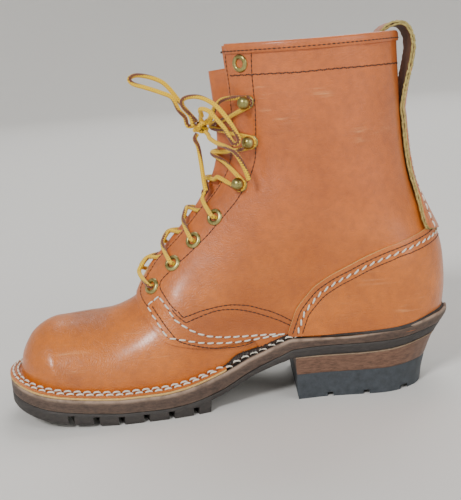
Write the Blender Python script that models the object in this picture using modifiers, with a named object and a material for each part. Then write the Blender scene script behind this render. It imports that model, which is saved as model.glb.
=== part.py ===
# Work boot for the right foot: a stitched-down leather upper on a lugged sole with a stacked heel.
# +X points to the toe, +Y to the inner side of the foot and +Z up; the floor is z = 0.
import math

import bmesh
import bpy
import numpy as np
from mathutils import Matrix, Vector

# Driving sizes, in metres
bootLength = 0.308  # sole, heel to toe
ballWidth = 0.098  # upper across the ball, at the feather line
heelWidth = 0.068  # upper across the heel seat
ankleWidth = 0.073
collarWidth = 0.085
shaftRise = 0.196  # heel seat to collar
toeSpring = 0.014
toeSwing = 0.012  # how far the toe tip leans to the inner side
wall = 0.0020
gap = 0.0003

heelCapHeight = 0.0176
heelStackHeight = 0.0120
shankThickness = 0.0067
midsoleThickness = 0.0070
flangeThickness = 0.0026
flangeTuck = 0.0060  # how far the flange goes in under the upper
foreSoleThickness = 0.0100  # outsole at the ball, lugs and all
lugDepth = 0.0055
lugWidth = 0.0125
lugGap = 0.0040
heelGrooveDepth = 0.0030
insoleThickness = 0.0030

foreLedge = 0.0080  # sole beyond the upper at the forefoot
heelLedge = 0.0051  # and at the sides of the heel
backLedge = 0.0071  # and behind it

counterThickness = 0.0020
quarterThickness = 0.0014
bindingThickness = 0.0012
bindingHeight = 0.0055
strapThickness = 0.0030
strapWidth = 0.0270
strapFoot = 0.0500
strapLift = 0.0012  # off the quarters' curve, whose facets stand a little proud of it
tongueThickness = 0.0026
tongueHalfWidth = 0.0300
tongueClear = 0.0033  # from the form in to the tongue's outer face

eyeletRadius = 0.0053
eyeletHole = 0.0028
eyeletThickness = 0.0014
hookBall = 0.0037
hookPost = 0.0016
hookBase = 0.0046
hookHeight = 0.0062
laceRadius = 0.0015
seatLift = 0.0026
knotRadius = 0.0048

# Heights that follow from the layers
seatHeight = heelCapHeight + heelStackHeight + shankThickness + midsoleThickness + 3 * gap
foreTop = foreSoleThickness + midsoleThickness + flangeThickness + 2 * gap
collarHeight = seatHeight + shaftRise
panel = gap + quarterThickness  # from the form to the quarters' outer face


def table(columns, *rows):
    return {name: np.array(values) for name, values in zip(columns.split(), zip(*rows))}


# Top of the sole from heel to toe: shares of the heel's rise and of the toe spring
soleLine = table(
    "along heel spring",
    (0.00, 1.25, 0.00),
    (0.03, 1.23, 0.00),
    (0.06, 1.185, 0.00),
    (0.10, 1.095, 0.00),
    (0.15, 1.025, 0.00),
    (0.20, 1.00, 0.00),
    (0.36, 1.00, 0.00),
    (0.395, 0.89, 0.00),
    (0.435, 0.72, 0.00),
    (0.48, 0.51, 0.00),
    (0.525, 0.325, 0.00),
    (0.57, 0.16, 0.00),
    (0.615, 0.05, 0.00),
    (0.66, 0.00, 0.00),
    (0.73, 0.00, 0.00),
    (0.78, 0.00, 0.07),
    (0.845, 0.00, 0.24),
    (0.91, 0.00, 0.48),
    (0.975, 0.00, 0.82),
    (1.03, 0.00, 1.10),
)

# Front of the form, from the toe's base over the vamp and instep to the collar: height above the sole
# line as a share of the shaft, and how far the form takes to round over, as a share of the ball width
frontLine = table(
    "along up round",
    (0.974, -0.15, 0.36),
    (0.974, 0.00, 0.37),
    (0.972, 0.035, 0.38),
    (0.964, 0.080, 0.38),
    (0.940, 0.145, 0.39),
    (0.903, 0.192, 0.40),
    (0.860, 0.210, 0.42),
    (0.795, 0.226, 0.45),
    (0.748, 0.245, 0.49),
    (0.709, 0.275, 0.53),
    (0.692, 0.323, 0.55),
    (0.667, 0.383, 0.58),
    (0.622, 0.448, 0.60),
    (0.574, 0.512, 0.61),
    (0.545, 0.547, 0.61),
    (0.506, 0.600, 0.61),
    (0.480, 0.646, 0.60),
    (0.467, 0.694, 0.60),
    (0.465, 0.770, 0.60),
    (0.470, 0.900, 0.60),
    (0.479, 1.060, 0.60),
    (0.485, 1.180, 0.60),
)

# Back seam, from under the heel seat to above the collar: height above the seat as a share of the shaft
backLine = table(
    "along up round",
    (0.0290, -0.25, 0.33),
    (0.0285, 0.00, 0.34),
    (0.0245, 0.03, 0.345),
    (0.0205, 0.06, 0.35),
    (0.0160, 0.12, 0.37),
    (0.0148, 0.18, 0.38),
    (0.0170, 0.245, 0.39),
    (0.0245, 0.30, 0.41),
    (0.037, 0.347, 0.44),
    (0.052, 0.40, 0.48),
    (0.068, 0.46, 0.53),
    (0.079, 0.525, 0.57),
    (0.087, 0.62, 0.60),
    (0.091, 0.745, 0.60),
    (0.093, 0.87, 0.60),
    (0.093, 1.00, 0.60),
    (0.092, 1.15, 0.60),
)

# Half widths of the form just above the sole, as shares of the width there: the heel's, then the ball's
planWidths = table(
    "along inner outer",
    (0.00, 0.505, 0.505),
    (0.12, 0.510, 0.515),
    (0.22, 0.495, 0.510),
    (0.34, 0.425, 0.470),
    (0.44, 0.385, 0.455),
    (0.54, 0.415, 0.480),
    (0.65, 0.462, 0.502),
    (0.73, 0.474, 0.505),
    (0.81, 0.462, 0.480),
    (0.88, 0.440, 0.440),
    (0.96, 0.420, 0.400),
    (1.05, 0.410, 0.390),
)

# Half width of the shaft going up, as shares of the ankle's and the collar's half width
shaftWidths = table(
    "up ankle collar",
    (0.00, 0.95, 0.00),
    (0.30, 1.00, 0.00),
    (0.42, 0.92, 0.08),
    (0.54, 0.62, 0.38),
    (0.70, 0.22, 0.78),
    (0.85, 0.04, 0.96),
    (1.00, 0.00, 1.00),
)

# Half of the throat's opening, from its foot to the collar, as shares of the ball width
throatGap = table(
    "rise half",
    (0.00, 0.070),
    (0.10, 0.085),
    (0.45, 0.115),
    (0.75, 0.150),
    (1.00, 0.175),
)

# Top edge of the counter cover: distance ahead of the back seam and height above the seat
counterEdge = table(
    "ahead up",
    (0.000, 0.338),
    (0.030, 0.326),
    (0.058, 0.316),
    (0.100, 0.301),
    (0.140, 0.286),
    (0.179, 0.265),
    (0.216, 0.240),
    (0.252, 0.214),
    (0.289, 0.178),
    (0.312, 0.143),
    (0.334, 0.102),
    (0.346, 0.066),
    (0.354, 0.018),
)

# Front and lower edge of the quarter where it laps the vamp
quarterEdge = table(
    "along up",
    (0.699, 0.158),
    (0.693, 0.140),
    (0.684, 0.120),
    (0.670, 0.090),
    (0.655, 0.056),
    (0.630, 0.024),
    (0.586, 0.005),
    (0.542, -0.006),
    (0.510, -0.005),
    (0.477, 0.001),
    (0.448, 0.008),
)

# Lace holders up the facing: where each sits, and whether it is an eyelet or a hook
laceHolders = table(
    "along up hook",
    (0.659, 0.203, 0),
    (0.609, 0.277, 0),
    (0.559, 0.352, 0),
    (0.509, 0.428, 0),
    (0.445, 0.533, 1),
    (0.415, 0.678, 1),
    (0.417, 0.811, 1),
    (0.429, 0.937, 0),
)

# Side view of the strap's middle above the place where it leaves the shaft: distance behind the back
# seam and height over the collar; the last rows are inside the collar
strapLoop = table(
    "behind over",
    (0.0046, -0.0500),
    (0.0068, -0.0360),
    (0.0098, -0.0200),
    (0.0112, -0.0085),
    (0.0098, -0.0005),
    (0.0060, 0.0048),
    (0.0000, 0.0056),
    (-0.0070, 0.0030),
    (-0.0115, -0.0030),
    (-0.0125, -0.0110),
    (-0.0110, -0.0210),
    (-0.0085, -0.0300),
)

# Taper of the heel down from the seat, as shares of the seat's height and of the heel's length
heelTaper = table(
    "height size",
    (0.00, 0.815),
    (0.16, 0.822),
    (0.36, 0.842),
    (0.70, 0.895),
    (0.86, 0.935),
    (1.00, 0.975),
    (1.12, 1.000),
    (1.30, 1.000),
)
heelBreast = 0.358  # share of the length from the back of the sole to the heel's front face
lugStart = 0.552  # where the lugged forefoot begins, as a share of the length
throatFoot = 0.700  # share of the length at the foot of the throat
ridgeShare = 0.135  # share of the length from there to where the toe's centre line begins
collarDip = 0.0015
weldWithin = 0.0006
sheetBelow = 0.0025  # the form's sheet runs this far under the sole line, where a cut trims it


def place(along):
    return (np.asarray(along, float) - 0.5) * bootLength


def share(x):
    return np.asarray(x, float) / bootLength + 0.5


def ease(t):
    t = np.clip(t, 0.0, 1.0)
    return t * t * (3.0 - 2.0 * t)


def follow(rows, column, key, at):
    """A smooth reading of a table's column, with no overshoot between its rows."""
    x, y = rows[key], rows[column]
    step = np.diff(x)
    slope = np.diff(y) / step
    lean = np.concatenate([slope[:1], np.zeros(len(slope) - 1), slope[-1:]])
    same = slope[1:] * slope[:-1] > 0
    lean[1:-1][same] = 2 * slope[1:][same] * slope[:-1][same] / (slope[1:] + slope[:-1])[same]
    at = np.clip(at, x[0], x[-1])
    i = np.clip(np.searchsorted(x, at) - 1, 0, len(step) - 1)
    t = (at - x[i]) / step[i]
    hold = y[i] * (1 + 2 * t) * (1 - t) ** 2 + y[i + 1] * t * t * (3 - 2 * t)
    return hold + step[i] * t * (1 - t) * (lean[i] * (1 - t) - lean[i + 1] * t)


def soleTop(x):
    heel = follow(soleLine, "heel", "along", share(x))
    spring = follow(soleLine, "spring", "along", share(x))
    return foreTop + (seatHeight - foreTop) * heel + toeSpring * spring


def centreLine(x):
    return toeSwing * np.clip((share(x) - 0.53) / 0.445, 0.0, None) ** 2


def smoothLine(points, pieces=10):
    """Points along a smooth curve through the given ones."""
    ends = np.vstack([2 * points[0] - points[1], points, 2 * points[-1] - points[-2]])
    t = np.linspace(0, 1, pieces, endpoint=False)[:, None]
    spans = []
    for a, b, c, d in zip(ends, ends[1:], ends[2:], ends[3:]):
        bend = 2 * a - 5 * b + 4 * c - d
        spans.append(b + 0.5 * ((c - a) * t + bend * t**2 + (3 * b - 3 * c + d - a) * t**3))
    return np.vstack(spans + [points[-1:]])


def sideLine(rows, floor):
    x = place(rows["along"])
    z = floor(x) + rows["up"] * shaftRise
    return smoothLine(np.stack([x, z, rows["round"] * ballWidth], 1))


frontPath = sideLine(frontLine, soleTop)
backPath = sideLine(backLine, lambda x: seatHeight + 0 * x)


def depth(path, facing, x, z):
    """How far inside a side-view line each place lies, and the rounding size beside it."""
    spot = np.stack(np.broadcast_arrays(x, z), -1).reshape(-1, 1, 2)
    start, run = path[:-1, :2], np.diff(path[:, :2], axis=0)
    t = np.clip(((spot - start) * run).sum(2) / (run**2).sum(1), 0, 1)
    away = spot - start - run * t[..., None]
    length = np.sqrt((away**2).sum(2))
    i = length.argmin(1)
    row = np.arange(len(spot))
    away, t = away[row, i], t[row, i]
    side = run[i, 0] * away[:, 1] - run[i, 1] * away[:, 0]
    reach = path[i, 2] + (path[i + 1, 2] - path[i, 2]) * t
    shape = np.broadcast(x, z).shape
    return (np.sign(side) * length[row, i] * facing).reshape(shape), reach.reshape(shape)


def bulge(t):
    return np.sqrt(np.clip(1 - (1 - np.clip(t, 0, 1)) ** 2, 0, 1))


def plateau(x, z, side):
    """Half width of the form where it is widest, before it rounds over to the front and the back."""
    local = heelWidth + (ballWidth - heelWidth) * ease((share(x) - 0.2) / 0.45)
    base = local * follow(planWidths, "inner" if side > 0 else "outer", "along", share(x))
    up = (z - soleTop(x)) / shaftRise
    ankle = ankleWidth / 2 * follow(shaftWidths, "ankle", "up", up)
    collar = collarWidth / 2 * follow(shaftWidths, "collar", "up", up)
    return base + (ankle + collar - base) * ease((up - 0.10) / 0.42)


def halfWidth(x, z, side, off=0.0):
    front, frontReach = depth(frontPath, 1, x, z)
    back, backReach = depth(backPath, -1, x, z)
    ends = bulge((front + off) / (frontReach + off)) * bulge((back + off) / (backReach + off))
    return (plateau(x, z, side) + off) * ends


def skin(x, z, side, off=0.0):
    """Points of the form's surface, or of a larger or smaller form around or inside it."""
    return np.stack([x + 0 * z, centreLine(x) + side * halfWidth(x, z, side, off), z + 0 * x], -1)


def outward(x, z, side):
    h = 0.0004
    slopeX = (halfWidth(x + h, z, side) - halfWidth(x - h, z, side)) / (2 * h)
    slopeZ = (halfWidth(x, z + h, side) - halfWidth(x, z - h, side)) / (2 * h)
    swing = (centreLine(x + h) - centreLine(x - h)) / (2 * h)
    n = np.stack([-slopeX - side * swing, side + 0 * slopeX, -slopeZ], -1)
    return n / np.linalg.norm(n, axis=-1, keepdims=True)


def alongPath(points, count, at=None):
    """Points at even steps, or at the given shares, of a line's length."""
    run = np.concatenate([[0], np.cumsum(np.linalg.norm(np.diff(points, axis=0), axis=1))])
    at = np.linspace(0, 1, count + 1) if at is None else np.asarray(at)
    return np.stack([np.interp(at * run[-1], run, column) for column in points.T], -1)


def evenOnForm(flat, side, count):
    """Side-view points spaced evenly along their own line on the form."""
    solid = np.column_stack([skin(flat[:, 0], flat[:, 1], side), flat])
    run = np.concatenate([[0], np.cumsum(np.linalg.norm(np.diff(solid[:, :3], axis=0), axis=1))])
    at = np.linspace(0, run[-1], count + 1)
    return np.stack([np.interp(at, run, flat[:, 0]), np.interp(at, run, flat[:, 1])], -1)


def turnPoints(path):
    """A side-view line with the direction into the form at each of its points."""
    lean = np.gradient(path[:, :2], axis=0)
    lean /= np.linalg.norm(lean, axis=1, keepdims=True)
    return np.stack([-lean[:, 1], lean[:, 0]], -1)


frontInward = turnPoints(frontPath)
footIndex = int(np.argmin(np.abs(frontPath[:, 0] - place(throatFoot)) + 9 * (frontPath[:, 1] < foreTop)))
collarIndex = int(np.argmin(np.abs(frontPath[:, 1] - collarHeight)))
fromRidge = np.abs(frontPath[:, 0] - place(throatFoot + ridgeShare))
toeIndex = int(np.argmin(fromRidge + 9 * (frontPath[:, 1] < foreTop)))


def throatRise(index):
    return (index - footIndex) / (collarIndex - footIndex)


def throatHalf(index):
    return ballWidth * follow(throatGap, "half", "rise", throatRise(index))


def frontSpot(index, y, off=0.0):
    """Side-view place on the front of the form, off the centre by y; index runs along the front line."""
    at = np.arange(len(frontPath))
    x, z, reach = (np.interp(index, at, frontPath[:, k]) for k in range(3))
    inX, inZ = (np.interp(index, at, frontInward[:, k]) for k in range(2))
    wide = plateau(x + 0.003 * inX, z + 0.003 * inZ, 1)
    down = (reach + off) * (1 - np.sqrt(1 - np.clip(np.abs(y) / (wide + off), 0, 0.98) ** 2)) - off
    return np.stack([x + down * inX, z + down * inZ], -1)


def collarLevel(x):
    rear, fore = backPath[-1, 0], frontPath[-1, 0]
    return collarHeight - collarDip * np.sin(math.pi * np.clip((x - rear) / (fore - rear), 0, 1))


def upperEdges(side):
    """The bottom and top edges of one side in the side view, each in three runs: shaft, facing and toe."""
    fine = np.linspace(0, 1, 90)
    heelX, tipX = backLine["along"][1], frontLine["along"][1]
    x = place(heelX + (tipX - heelX) * (1 - np.cos(math.pi * fine)) / 2)
    bottom = np.stack([x, soleTop(x) - sheetBelow], -1)
    cuts = [0] + [int(np.argmin(np.abs(x - place(at)))) for at in (0.31, 0.70)] + [len(x) - 1]
    bottoms = [bottom[a : b + 1] for a, b in zip(cuts, cuts[1:])]
    steps = np.linspace(collarIndex, footIndex, 60)
    facing = frontSpot(steps, throatHalf(steps))
    rear = np.interp(collarHeight, backPath[:, 1], backPath[:, 0])
    x = rear + (facing[0, 0] - rear) * (1 - np.cos(math.pi / 2 * fine))
    collar = np.stack([x, collarLevel(x)], -1)
    turn = frontSpot(footIndex + 0 * fine, throatHalf(footIndex) * np.cos(math.pi / 2 * fine))
    ridge = frontPath[toeIndex : footIndex + 1, :2][::-1]
    facing[0] = collar[-1]
    return bottoms, [collar, facing, np.vstack([turn, ridge[1:]])]


def upperGrid(side, counts, rows):
    """Side-view places of one side's mesh: columns from the back seam round to the toe's centre line."""
    bottoms, tops = upperEdges(side)
    bottom, top = (
        np.vstack([evenOnForm(run, side, n)[1 if k else 0 :] for k, (run, n) in enumerate(zip(runs, counts))])
        for runs in (bottoms, tops)
    )
    fine = np.linspace(0, 1, 70)
    low, high = bottom[0, 1], top[0, 1]
    z = low + (high - low) * fine
    left = np.stack([np.interp(z, backPath[:, 1], backPath[:, 0]), z], -1)
    tip = int(np.argmax(frontPath[:, 1] > bottom[-1, 1]))
    right = alongPath(np.vstack([bottom[-1:], frontPath[tip : toeIndex + 1, :2]]), len(fine) - 1)
    s = np.linspace(0, 1, len(bottom))[:, None, None]
    t = fine[None, :, None]
    straight = bottom[:, None] * (1 - t) + top[:, None] * t
    nearLeft, nearRight = ease(1 - s / 0.6), ease((s - 0.55) / 0.45)
    flat = straight + nearLeft * (left - straight[0]) + nearRight * (right - straight[-1])
    grid = np.empty((len(bottom), rows + 1, 2))
    for i, column in enumerate(flat):
        grid[i] = evenOnForm(column, side, rows)
    return grid


def clearScene():
    for obj in list(bpy.data.objects):
        bpy.data.objects.remove(obj, do_unlink=True)


def collection(name):
    made = bpy.data.collections.new(name)
    bpy.context.scene.collection.children.link(made)
    return made


def material(name, colour, roughness, metallic=0.0):
    made = bpy.data.materials.new(name)
    made.use_nodes = True
    shader = made.node_tree.nodes["Principled BSDF"]
    shader.inputs["Base Color"].default_value = (*colour, 1.0)
    shader.inputs["Roughness"].default_value = roughness
    shader.inputs["Metallic"].default_value = metallic
    return made


clearScene()
boot = collection("work_boot")
cutters = collection("cutters")
finishes = {
    "leather": material("orange_leather", (0.50, 0.20, 0.075), 0.45),
    "strap": material("strap_leather", (0.45, 0.33, 0.15), 0.6),
    "edge": material("raw_edge", (0.62, 0.48, 0.28), 0.8),
    "midsole": material("midsole_leather", (0.10, 0.065, 0.045), 0.6),
    "rubber": material("black_rubber", (0.02, 0.022, 0.025), 0.7),
    "stack": material("stacked_leather", (0.075, 0.045, 0.03), 0.5),
    "brass": material("antique_brass", (0.45, 0.38, 0.18), 0.35, 1.0),
    "lace": material("yellow_lace", (0.70, 0.45, 0.08), 0.8),
}


def addObject(name, mesh, finish, into=None):
    obj = bpy.data.objects.new(name, mesh)
    (into or boot).objects.link(obj)
    if finish:
        mesh.materials.clear()
        mesh.materials.append(finishes[finish])
        mesh.shade_smooth()
        mesh.set_sharp_from_angle(angle=math.radians(40))
    return obj


def cutter(name, mesh):
    obj = addObject(name, mesh, None, cutters)
    obj.hide_render = True
    obj.display_type = "WIRE"
    return obj


def gridMesh(name, points, closed=False, split=False):
    """A sheet laid through rows of points and welded where they meet; closed fills what stays open."""
    rows, columns = points.shape[:2]
    bm = bmesh.new()
    bmesh.ops.create_grid(bm, x_segments=rows - 1, y_segments=columns - 1, size=0.5)
    for vertex in bm.verts:
        i = round((vertex.co.x + 0.5) * (rows - 1))
        j = round((vertex.co.y + 0.5) * (columns - 1))
        vertex.co = points[i, j]
    bmesh.ops.remove_doubles(bm, verts=bm.verts, dist=0.00002)
    if closed:
        bmesh.ops.holes_fill(bm, edges=[e for e in bm.edges if e.is_boundary], sides=0)
        bmesh.ops.recalc_face_normals(bm, faces=bm.faces)
    bmesh.ops.triangulate(bm, faces=[f for f in bm.faces if split or len(f.verts) > 4])
    mesh = bpy.data.meshes.new(name)
    bm.to_mesh(mesh)
    bm.free()
    return mesh


def faceOut(mesh):
    """Turns a sheet so that its faces look away from the boot's middle plane."""
    lean = sum(p.normal.y * math.copysign(p.area, p.center.y) for p in mesh.polygons)
    if lean < 0:
        mesh.flip_normals()
    return mesh


def mirrored(sideGrid):
    """Both sides' grids as one, from the inner toe round the back seam to the outer toe."""
    inner, outer = sideGrid(1), sideGrid(-1)
    return np.concatenate([inner[::-1], outer[1:]])


def upperSheet():
    """The outer face of the form, open at the collar, the throat and the sole."""
    counts, rows = (8, 10, 8), 13
    flat = upperGrid(1, counts, rows)
    points = mirrored(lambda side: onForm(flat, side))
    middle = centreLine(points[..., 0])
    onSeam = np.abs(points[..., 1] - middle) < weldWithin
    onSeam[[0, len(points) // 2, -1]] = True
    points[..., 1] = np.where(onSeam, middle, points[..., 1])
    return faceOut(gridMesh("upper", points, split=True))


def onForm(flat, side, off=0.0):
    return skin(flat[..., 0], flat[..., 1], side, off)


def thicken(obj, thickness, offset):
    solid = obj.modifiers.new("thickness", "SOLIDIFY")
    solid.thickness, solid.offset = thickness, offset
    return obj


def overlay(name, sheet, clear, thickness, region, finish):
    """A layer over the form, cut to a region of its side view."""
    obj = addObject(name, sheet.copy(), finish)
    lift = obj.modifiers.new("clearance", "DISPLACE")
    lift.strength, lift.mid_level = clear, 0
    thicken(obj, thickness, 1)
    keep = obj.modifiers.new("outline", "BOOLEAN")
    keep.operation, keep.object, keep.solver = "INTERSECT", region, "EXACT"
    return obj


def sideRegion(name, line):
    """A side-view outline carried right across the boot, as a solid to cut with."""
    reach = ballWidth
    bm = bmesh.new()
    face = bm.faces.new([bm.verts.new((x, -reach, z)) for x, z in line])
    rest = bmesh.ops.extrude_face_region(bm, geom=[face])["geom"]
    moved = [v for v in rest if isinstance(v, bmesh.types.BMVert)]
    bmesh.ops.translate(bm, verts=moved, vec=(0, 2 * reach, 0))
    bmesh.ops.recalc_face_normals(bm, faces=bm.faces)
    bmesh.ops.triangulate(bm, faces=[f for f in bm.faces if len(f.verts) > 4])
    mesh = bpy.data.meshes.new(name)
    bm.to_mesh(mesh)
    bm.free()
    return cutter(name, mesh)


def backX(z):
    return np.interp(z, backPath[:, 1], backPath[:, 0])


def aboveSole(front, clear):
    """The lower edge of a piece in the side view, clear of the sole line."""
    x = np.append(np.arange(front, place(0) - 0.012, -0.006), place(0) - 0.03)
    return list(zip(x, soleTop(x) + clear))


def makeUpper(sheet):
    front, high = place(1) + 0.03, collarHeight + 0.03
    obj = thicken(addObject("upper", sheet, "leather"), wall, -1)
    region = sideRegion("sole_trim", [*aboveSole(front, 1.6 * gap), (place(0) - 0.03, high), (front, high)])
    keep = obj.modifiers.new("sole_edge", "BOOLEAN")
    keep.operation, keep.object, keep.solver = "INTERSECT", region, "EXACT"
    return obj


def makeQuarters(sheet):
    """Both quarters and the shaft's outer layer, one piece round the back seam, lapped over the vamp."""
    x = place(quarterEdge["along"])
    edge = smoothLine(np.stack([x, seatHeight + quarterEdge["up"] * shaftRise], 1), 4)
    clear, high = 0.03, collarHeight + 0.03
    under = aboveSole(edge[-1, 0] - 0.004, 1.5 * gap)
    over = [(place(0) - clear, high), (edge[0, 0], high), (edge[0, 0] + 0.006, edge[0, 1] + 0.008)]
    region = sideRegion("quarter_region", [*edge, *under, *over])
    return overlay("quarters", sheet, gap, quarterThickness, region, "leather")


def makeCounter(sheet):
    ahead = counterEdge["ahead"] * bootLength
    z = seatHeight + shaftRise * counterEdge["up"]
    edge = smoothLine(np.stack([backX(z) + ahead, z], 1), 3)
    clear = 0.03
    under = aboveSole(edge[-1, 0], 2 * gap)
    region = sideRegion("counter_region", [*edge, *under, (place(0) - clear, edge[0, 1])])
    return overlay("counter_cover", sheet, panel + gap, counterThickness, region, "leather")


def makeBinding(sheet):
    low, high, clear = collarHeight - bindingHeight, collarHeight + 0.02, 0.03
    front = frontPath[collarIndex, 0] + clear
    line = [(place(0) - clear, low), (front, low), (front, high), (place(0) - clear, high)]
    region = sideRegion("collar_region", line)
    return overlay("collar_binding", sheet, panel + gap, bindingThickness, region, "leather")


def onBack(z, y, off):
    """The x of the form's back at a height and a distance off the centre, found by halving."""
    low = backX(z) - off - 0.004 + 0 * y
    high = low + 0.050
    for _ in range(18):
        x = (low + high) / 2
        wide = np.where(y > 0, halfWidth(x, z + 0 * y, 1, off), halfWidth(x, z + 0 * y, -1, off))
        low, high = np.where(wide > np.abs(y), low, x), np.where(wide > np.abs(y), x, high)
    return high


def makeStrap():
    """The back stay from the counter cover up, off the shaft at the top and down inside the collar."""
    low = seatHeight + shaftRise * counterEdge["up"][0] + counterThickness
    leave = collarHeight + strapLoop["over"][0]
    t = np.linspace(0, 1, 9)
    z = low + (leave - 0.006 - low) * t
    half = strapWidth / 2 + (strapFoot - strapWidth) / 2 * (1 - ease(t / 0.45))
    loopX = backX(collarHeight) - strapLoop["behind"]
    loop = alongPath(smoothLine(np.stack([loopX, collarHeight + strapLoop["over"]], 1)), 18)
    across = np.linspace(-1, 1, 7)
    stay = np.stack([np.stack([onBack(h, w * across, panel + strapLift + strapThickness / 2), w * across,
                               h + w * across**2 * 0.12 * (1 - k)], -1) for k, h, w in zip(t, z, half)])
    w = strapWidth / 2 * across
    dish = onBack(collarHeight, w, 0) - backX(collarHeight)
    flatten = 1 - 0.9 * ease(np.linspace(0, 1, len(loop)) / 0.4)
    hung = np.stack([np.stack([x + dish * flat, w, h + 0 * w], -1) for (x, h), flat in zip(loop, flatten)])
    points = np.concatenate([stay, hung])
    obj = addObject("back_strap", gridMesh("back_strap", points), "strap")
    solid = obj.modifiers.new("thickness", "SOLIDIFY")
    solid.thickness, solid.offset, solid.use_even_offset = strapThickness, 0, True
    return obj


tonguePush = table(
    "rise push half",
    (-0.10, -0.0015, 0.35),
    (0.00, 0.0000, 0.45),
    (0.35, 0.0020, 0.70),
    (0.52, 0.0045, 0.85),
    (0.66, 0.0082, 0.95),
    (0.78, 0.0090, 1.00),
    (1.00, 0.0072, 1.00),
)


def tonguePlace(index, y, lift=0.0):
    """A place on the tongue's outer face, or lift beyond it."""
    rise = throatRise(index)
    inside = tongueClear
    half = throatHalf(np.clip(index, footIndex, collarIndex))
    crown = ease(1.25 * (1 - np.clip(np.abs(y) / (0.92 * half), 0, 1)))
    flat = frontSpot(index, y, -inside)
    at = np.arange(len(frontPath))
    inward = np.stack([np.interp(index, at, frontInward[:, k]) for k in range(2)], -1)
    push = (follow(tonguePush, "push", "rise", rise) + inside * ease((rise - 0.03) / 0.15)) * crown + lift
    flat = flat - inward * push[..., None]
    return np.stack([flat[..., 0], centreLine(flat[..., 0]) + y, flat[..., 1]], -1)


def makeTongue():
    index = np.linspace(footIndex - 4, footIndex + 0.952 * (collarIndex - footIndex), 19)[:, None]
    rise = throatRise(index)
    y = tongueHalfWidth * follow(tonguePush, "half", "rise", rise) * np.linspace(-1, 1, 15)
    points = tonguePlace(index + 0 * y, y)
    obj = addObject("tongue", gridMesh("tongue", points), "leather")
    if sum(p.normal.x * p.area for p in obj.data.polygons) < 0:
        obj.data.flip_normals()
    solid = obj.modifiers.new("thickness", "SOLIDIFY")
    solid.thickness, solid.offset, solid.use_even_offset = tongueThickness, -1, True
    return obj


def taperHeel(points, blend):
    """Narrows what lies behind the heel's breast towards the floor."""
    breast = place(heelBreast)
    size = follow(heelTaper, "size", "height", points[..., 2] / seatHeight)
    behind = np.clip(breast - points[..., 0], 0, None)
    points[..., 0] += behind * (1 - size)
    least = 0 if blend else 0.25
    sideways = least + (0.65 - least) * ease(behind / 0.03)
    points[..., 1] *= np.where(points[..., 0] < breast, 1 - (1 - size) * sideways, 1)
    return points


def ledge(x, side):
    start, run = (0.49, 0.11) if side > 0 else (0.38, 0.14)
    fore = (foreLedge - heelLedge) * ease((share(x) - start) / run)
    return heelLedge + fore + (backLedge - heelLedge) * ease(1 - share(x) / 0.12)


def outline(x, side, trim=0.0):
    return centreLine(x) + side * halfWidth(x, soleTop(x) + 0.002, side, ledge(x, side) - trim)


def stations(first, last, count):
    return first + (last - first) * (1 - np.cos(math.pi * np.linspace(0, 1, count + 1))) / 2


def slab(name, x, bottom, top, finish, trim=0.0):
    """A sole layer between two heights, cut to the outline."""
    outer, inner = outline(x, -1, trim), outline(x, 1, trim)
    corners = [(outer, bottom), (outer, top), (inner, top), (inner, bottom), (outer, bottom)]
    points = np.stack([np.stack([x, y, z], -1) for y, z in corners], 1)
    return addObject(name, gridMesh(name, taperHeel(points, True), closed=True), finish)


heelEnd = float(backX(soleTop(place(0)) + 0.002)) - backLedge
toeEnd = place(frontLine["along"][1]) + foreLedge
flangeFrom, flangeFull = 0.45, 0.53


def flangeShare(x):
    return ease((share(x) - flangeFrom) / (flangeFull - flangeFrom))


def steep(x):
    slope = (soleTop(x + 0.001) - soleTop(x - 0.001)) / 0.002
    return np.sqrt(1 + slope**2)


def midsoleTop(x):
    return soleTop(x) - (flangeThickness + gap) * flangeShare(x)


def midsoleBottom(x):
    return midsoleTop(x) - midsoleThickness * steep(x)


def outsoleBottom(x):
    shank = midsoleBottom(x) - (gap + shankThickness) * steep(x)
    ground = toeSpring * follow(soleLine, "spring", "along", share(x))
    return np.where(share(x) < lugStart, shank, ground)


def makeSoleLayers():
    nearEnd = 0.0002
    x = stations(heelEnd + nearEnd, toeEnd - nearEnd, 50)
    x = np.sort(np.append(x, place(soleLine["along"][2])))
    slab("midsole", x, midsoleBottom(x), midsoleTop(x), "midsole")
    step = place(lugStart) + np.array([-nearEnd, nearEnd])
    x = np.sort(np.concatenate([x, step]))
    outsole = slab("outsole", x, outsoleBottom(x), midsoleBottom(x) - gap * steep(x), "rubber")
    cutLugs(outsole)
    inside = wall + 5 * gap
    first, last = heelEnd + backLedge + inside, toeEnd - foreLedge - inside
    between = x[(x > first + 0.02) & (x < last - 0.02)]
    x = np.sort(np.concatenate([stations(first + nearEnd, last - nearEnd, 16), between]))
    base = soleTop(x) + gap
    outer, inner = (centreLine(x) + side * halfWidth(x, base + 0.002, side, -inside) for side in (-1, 1))
    corners = [(outer, 0), (outer, 1), (inner, 1), (inner, 0), (outer, 0)]
    points = np.stack([np.stack([x, y, base + insoleThickness * up], -1) for y, up in corners], 1)
    addObject("insole", gridMesh("insole", points, closed=True), "strap")


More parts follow.
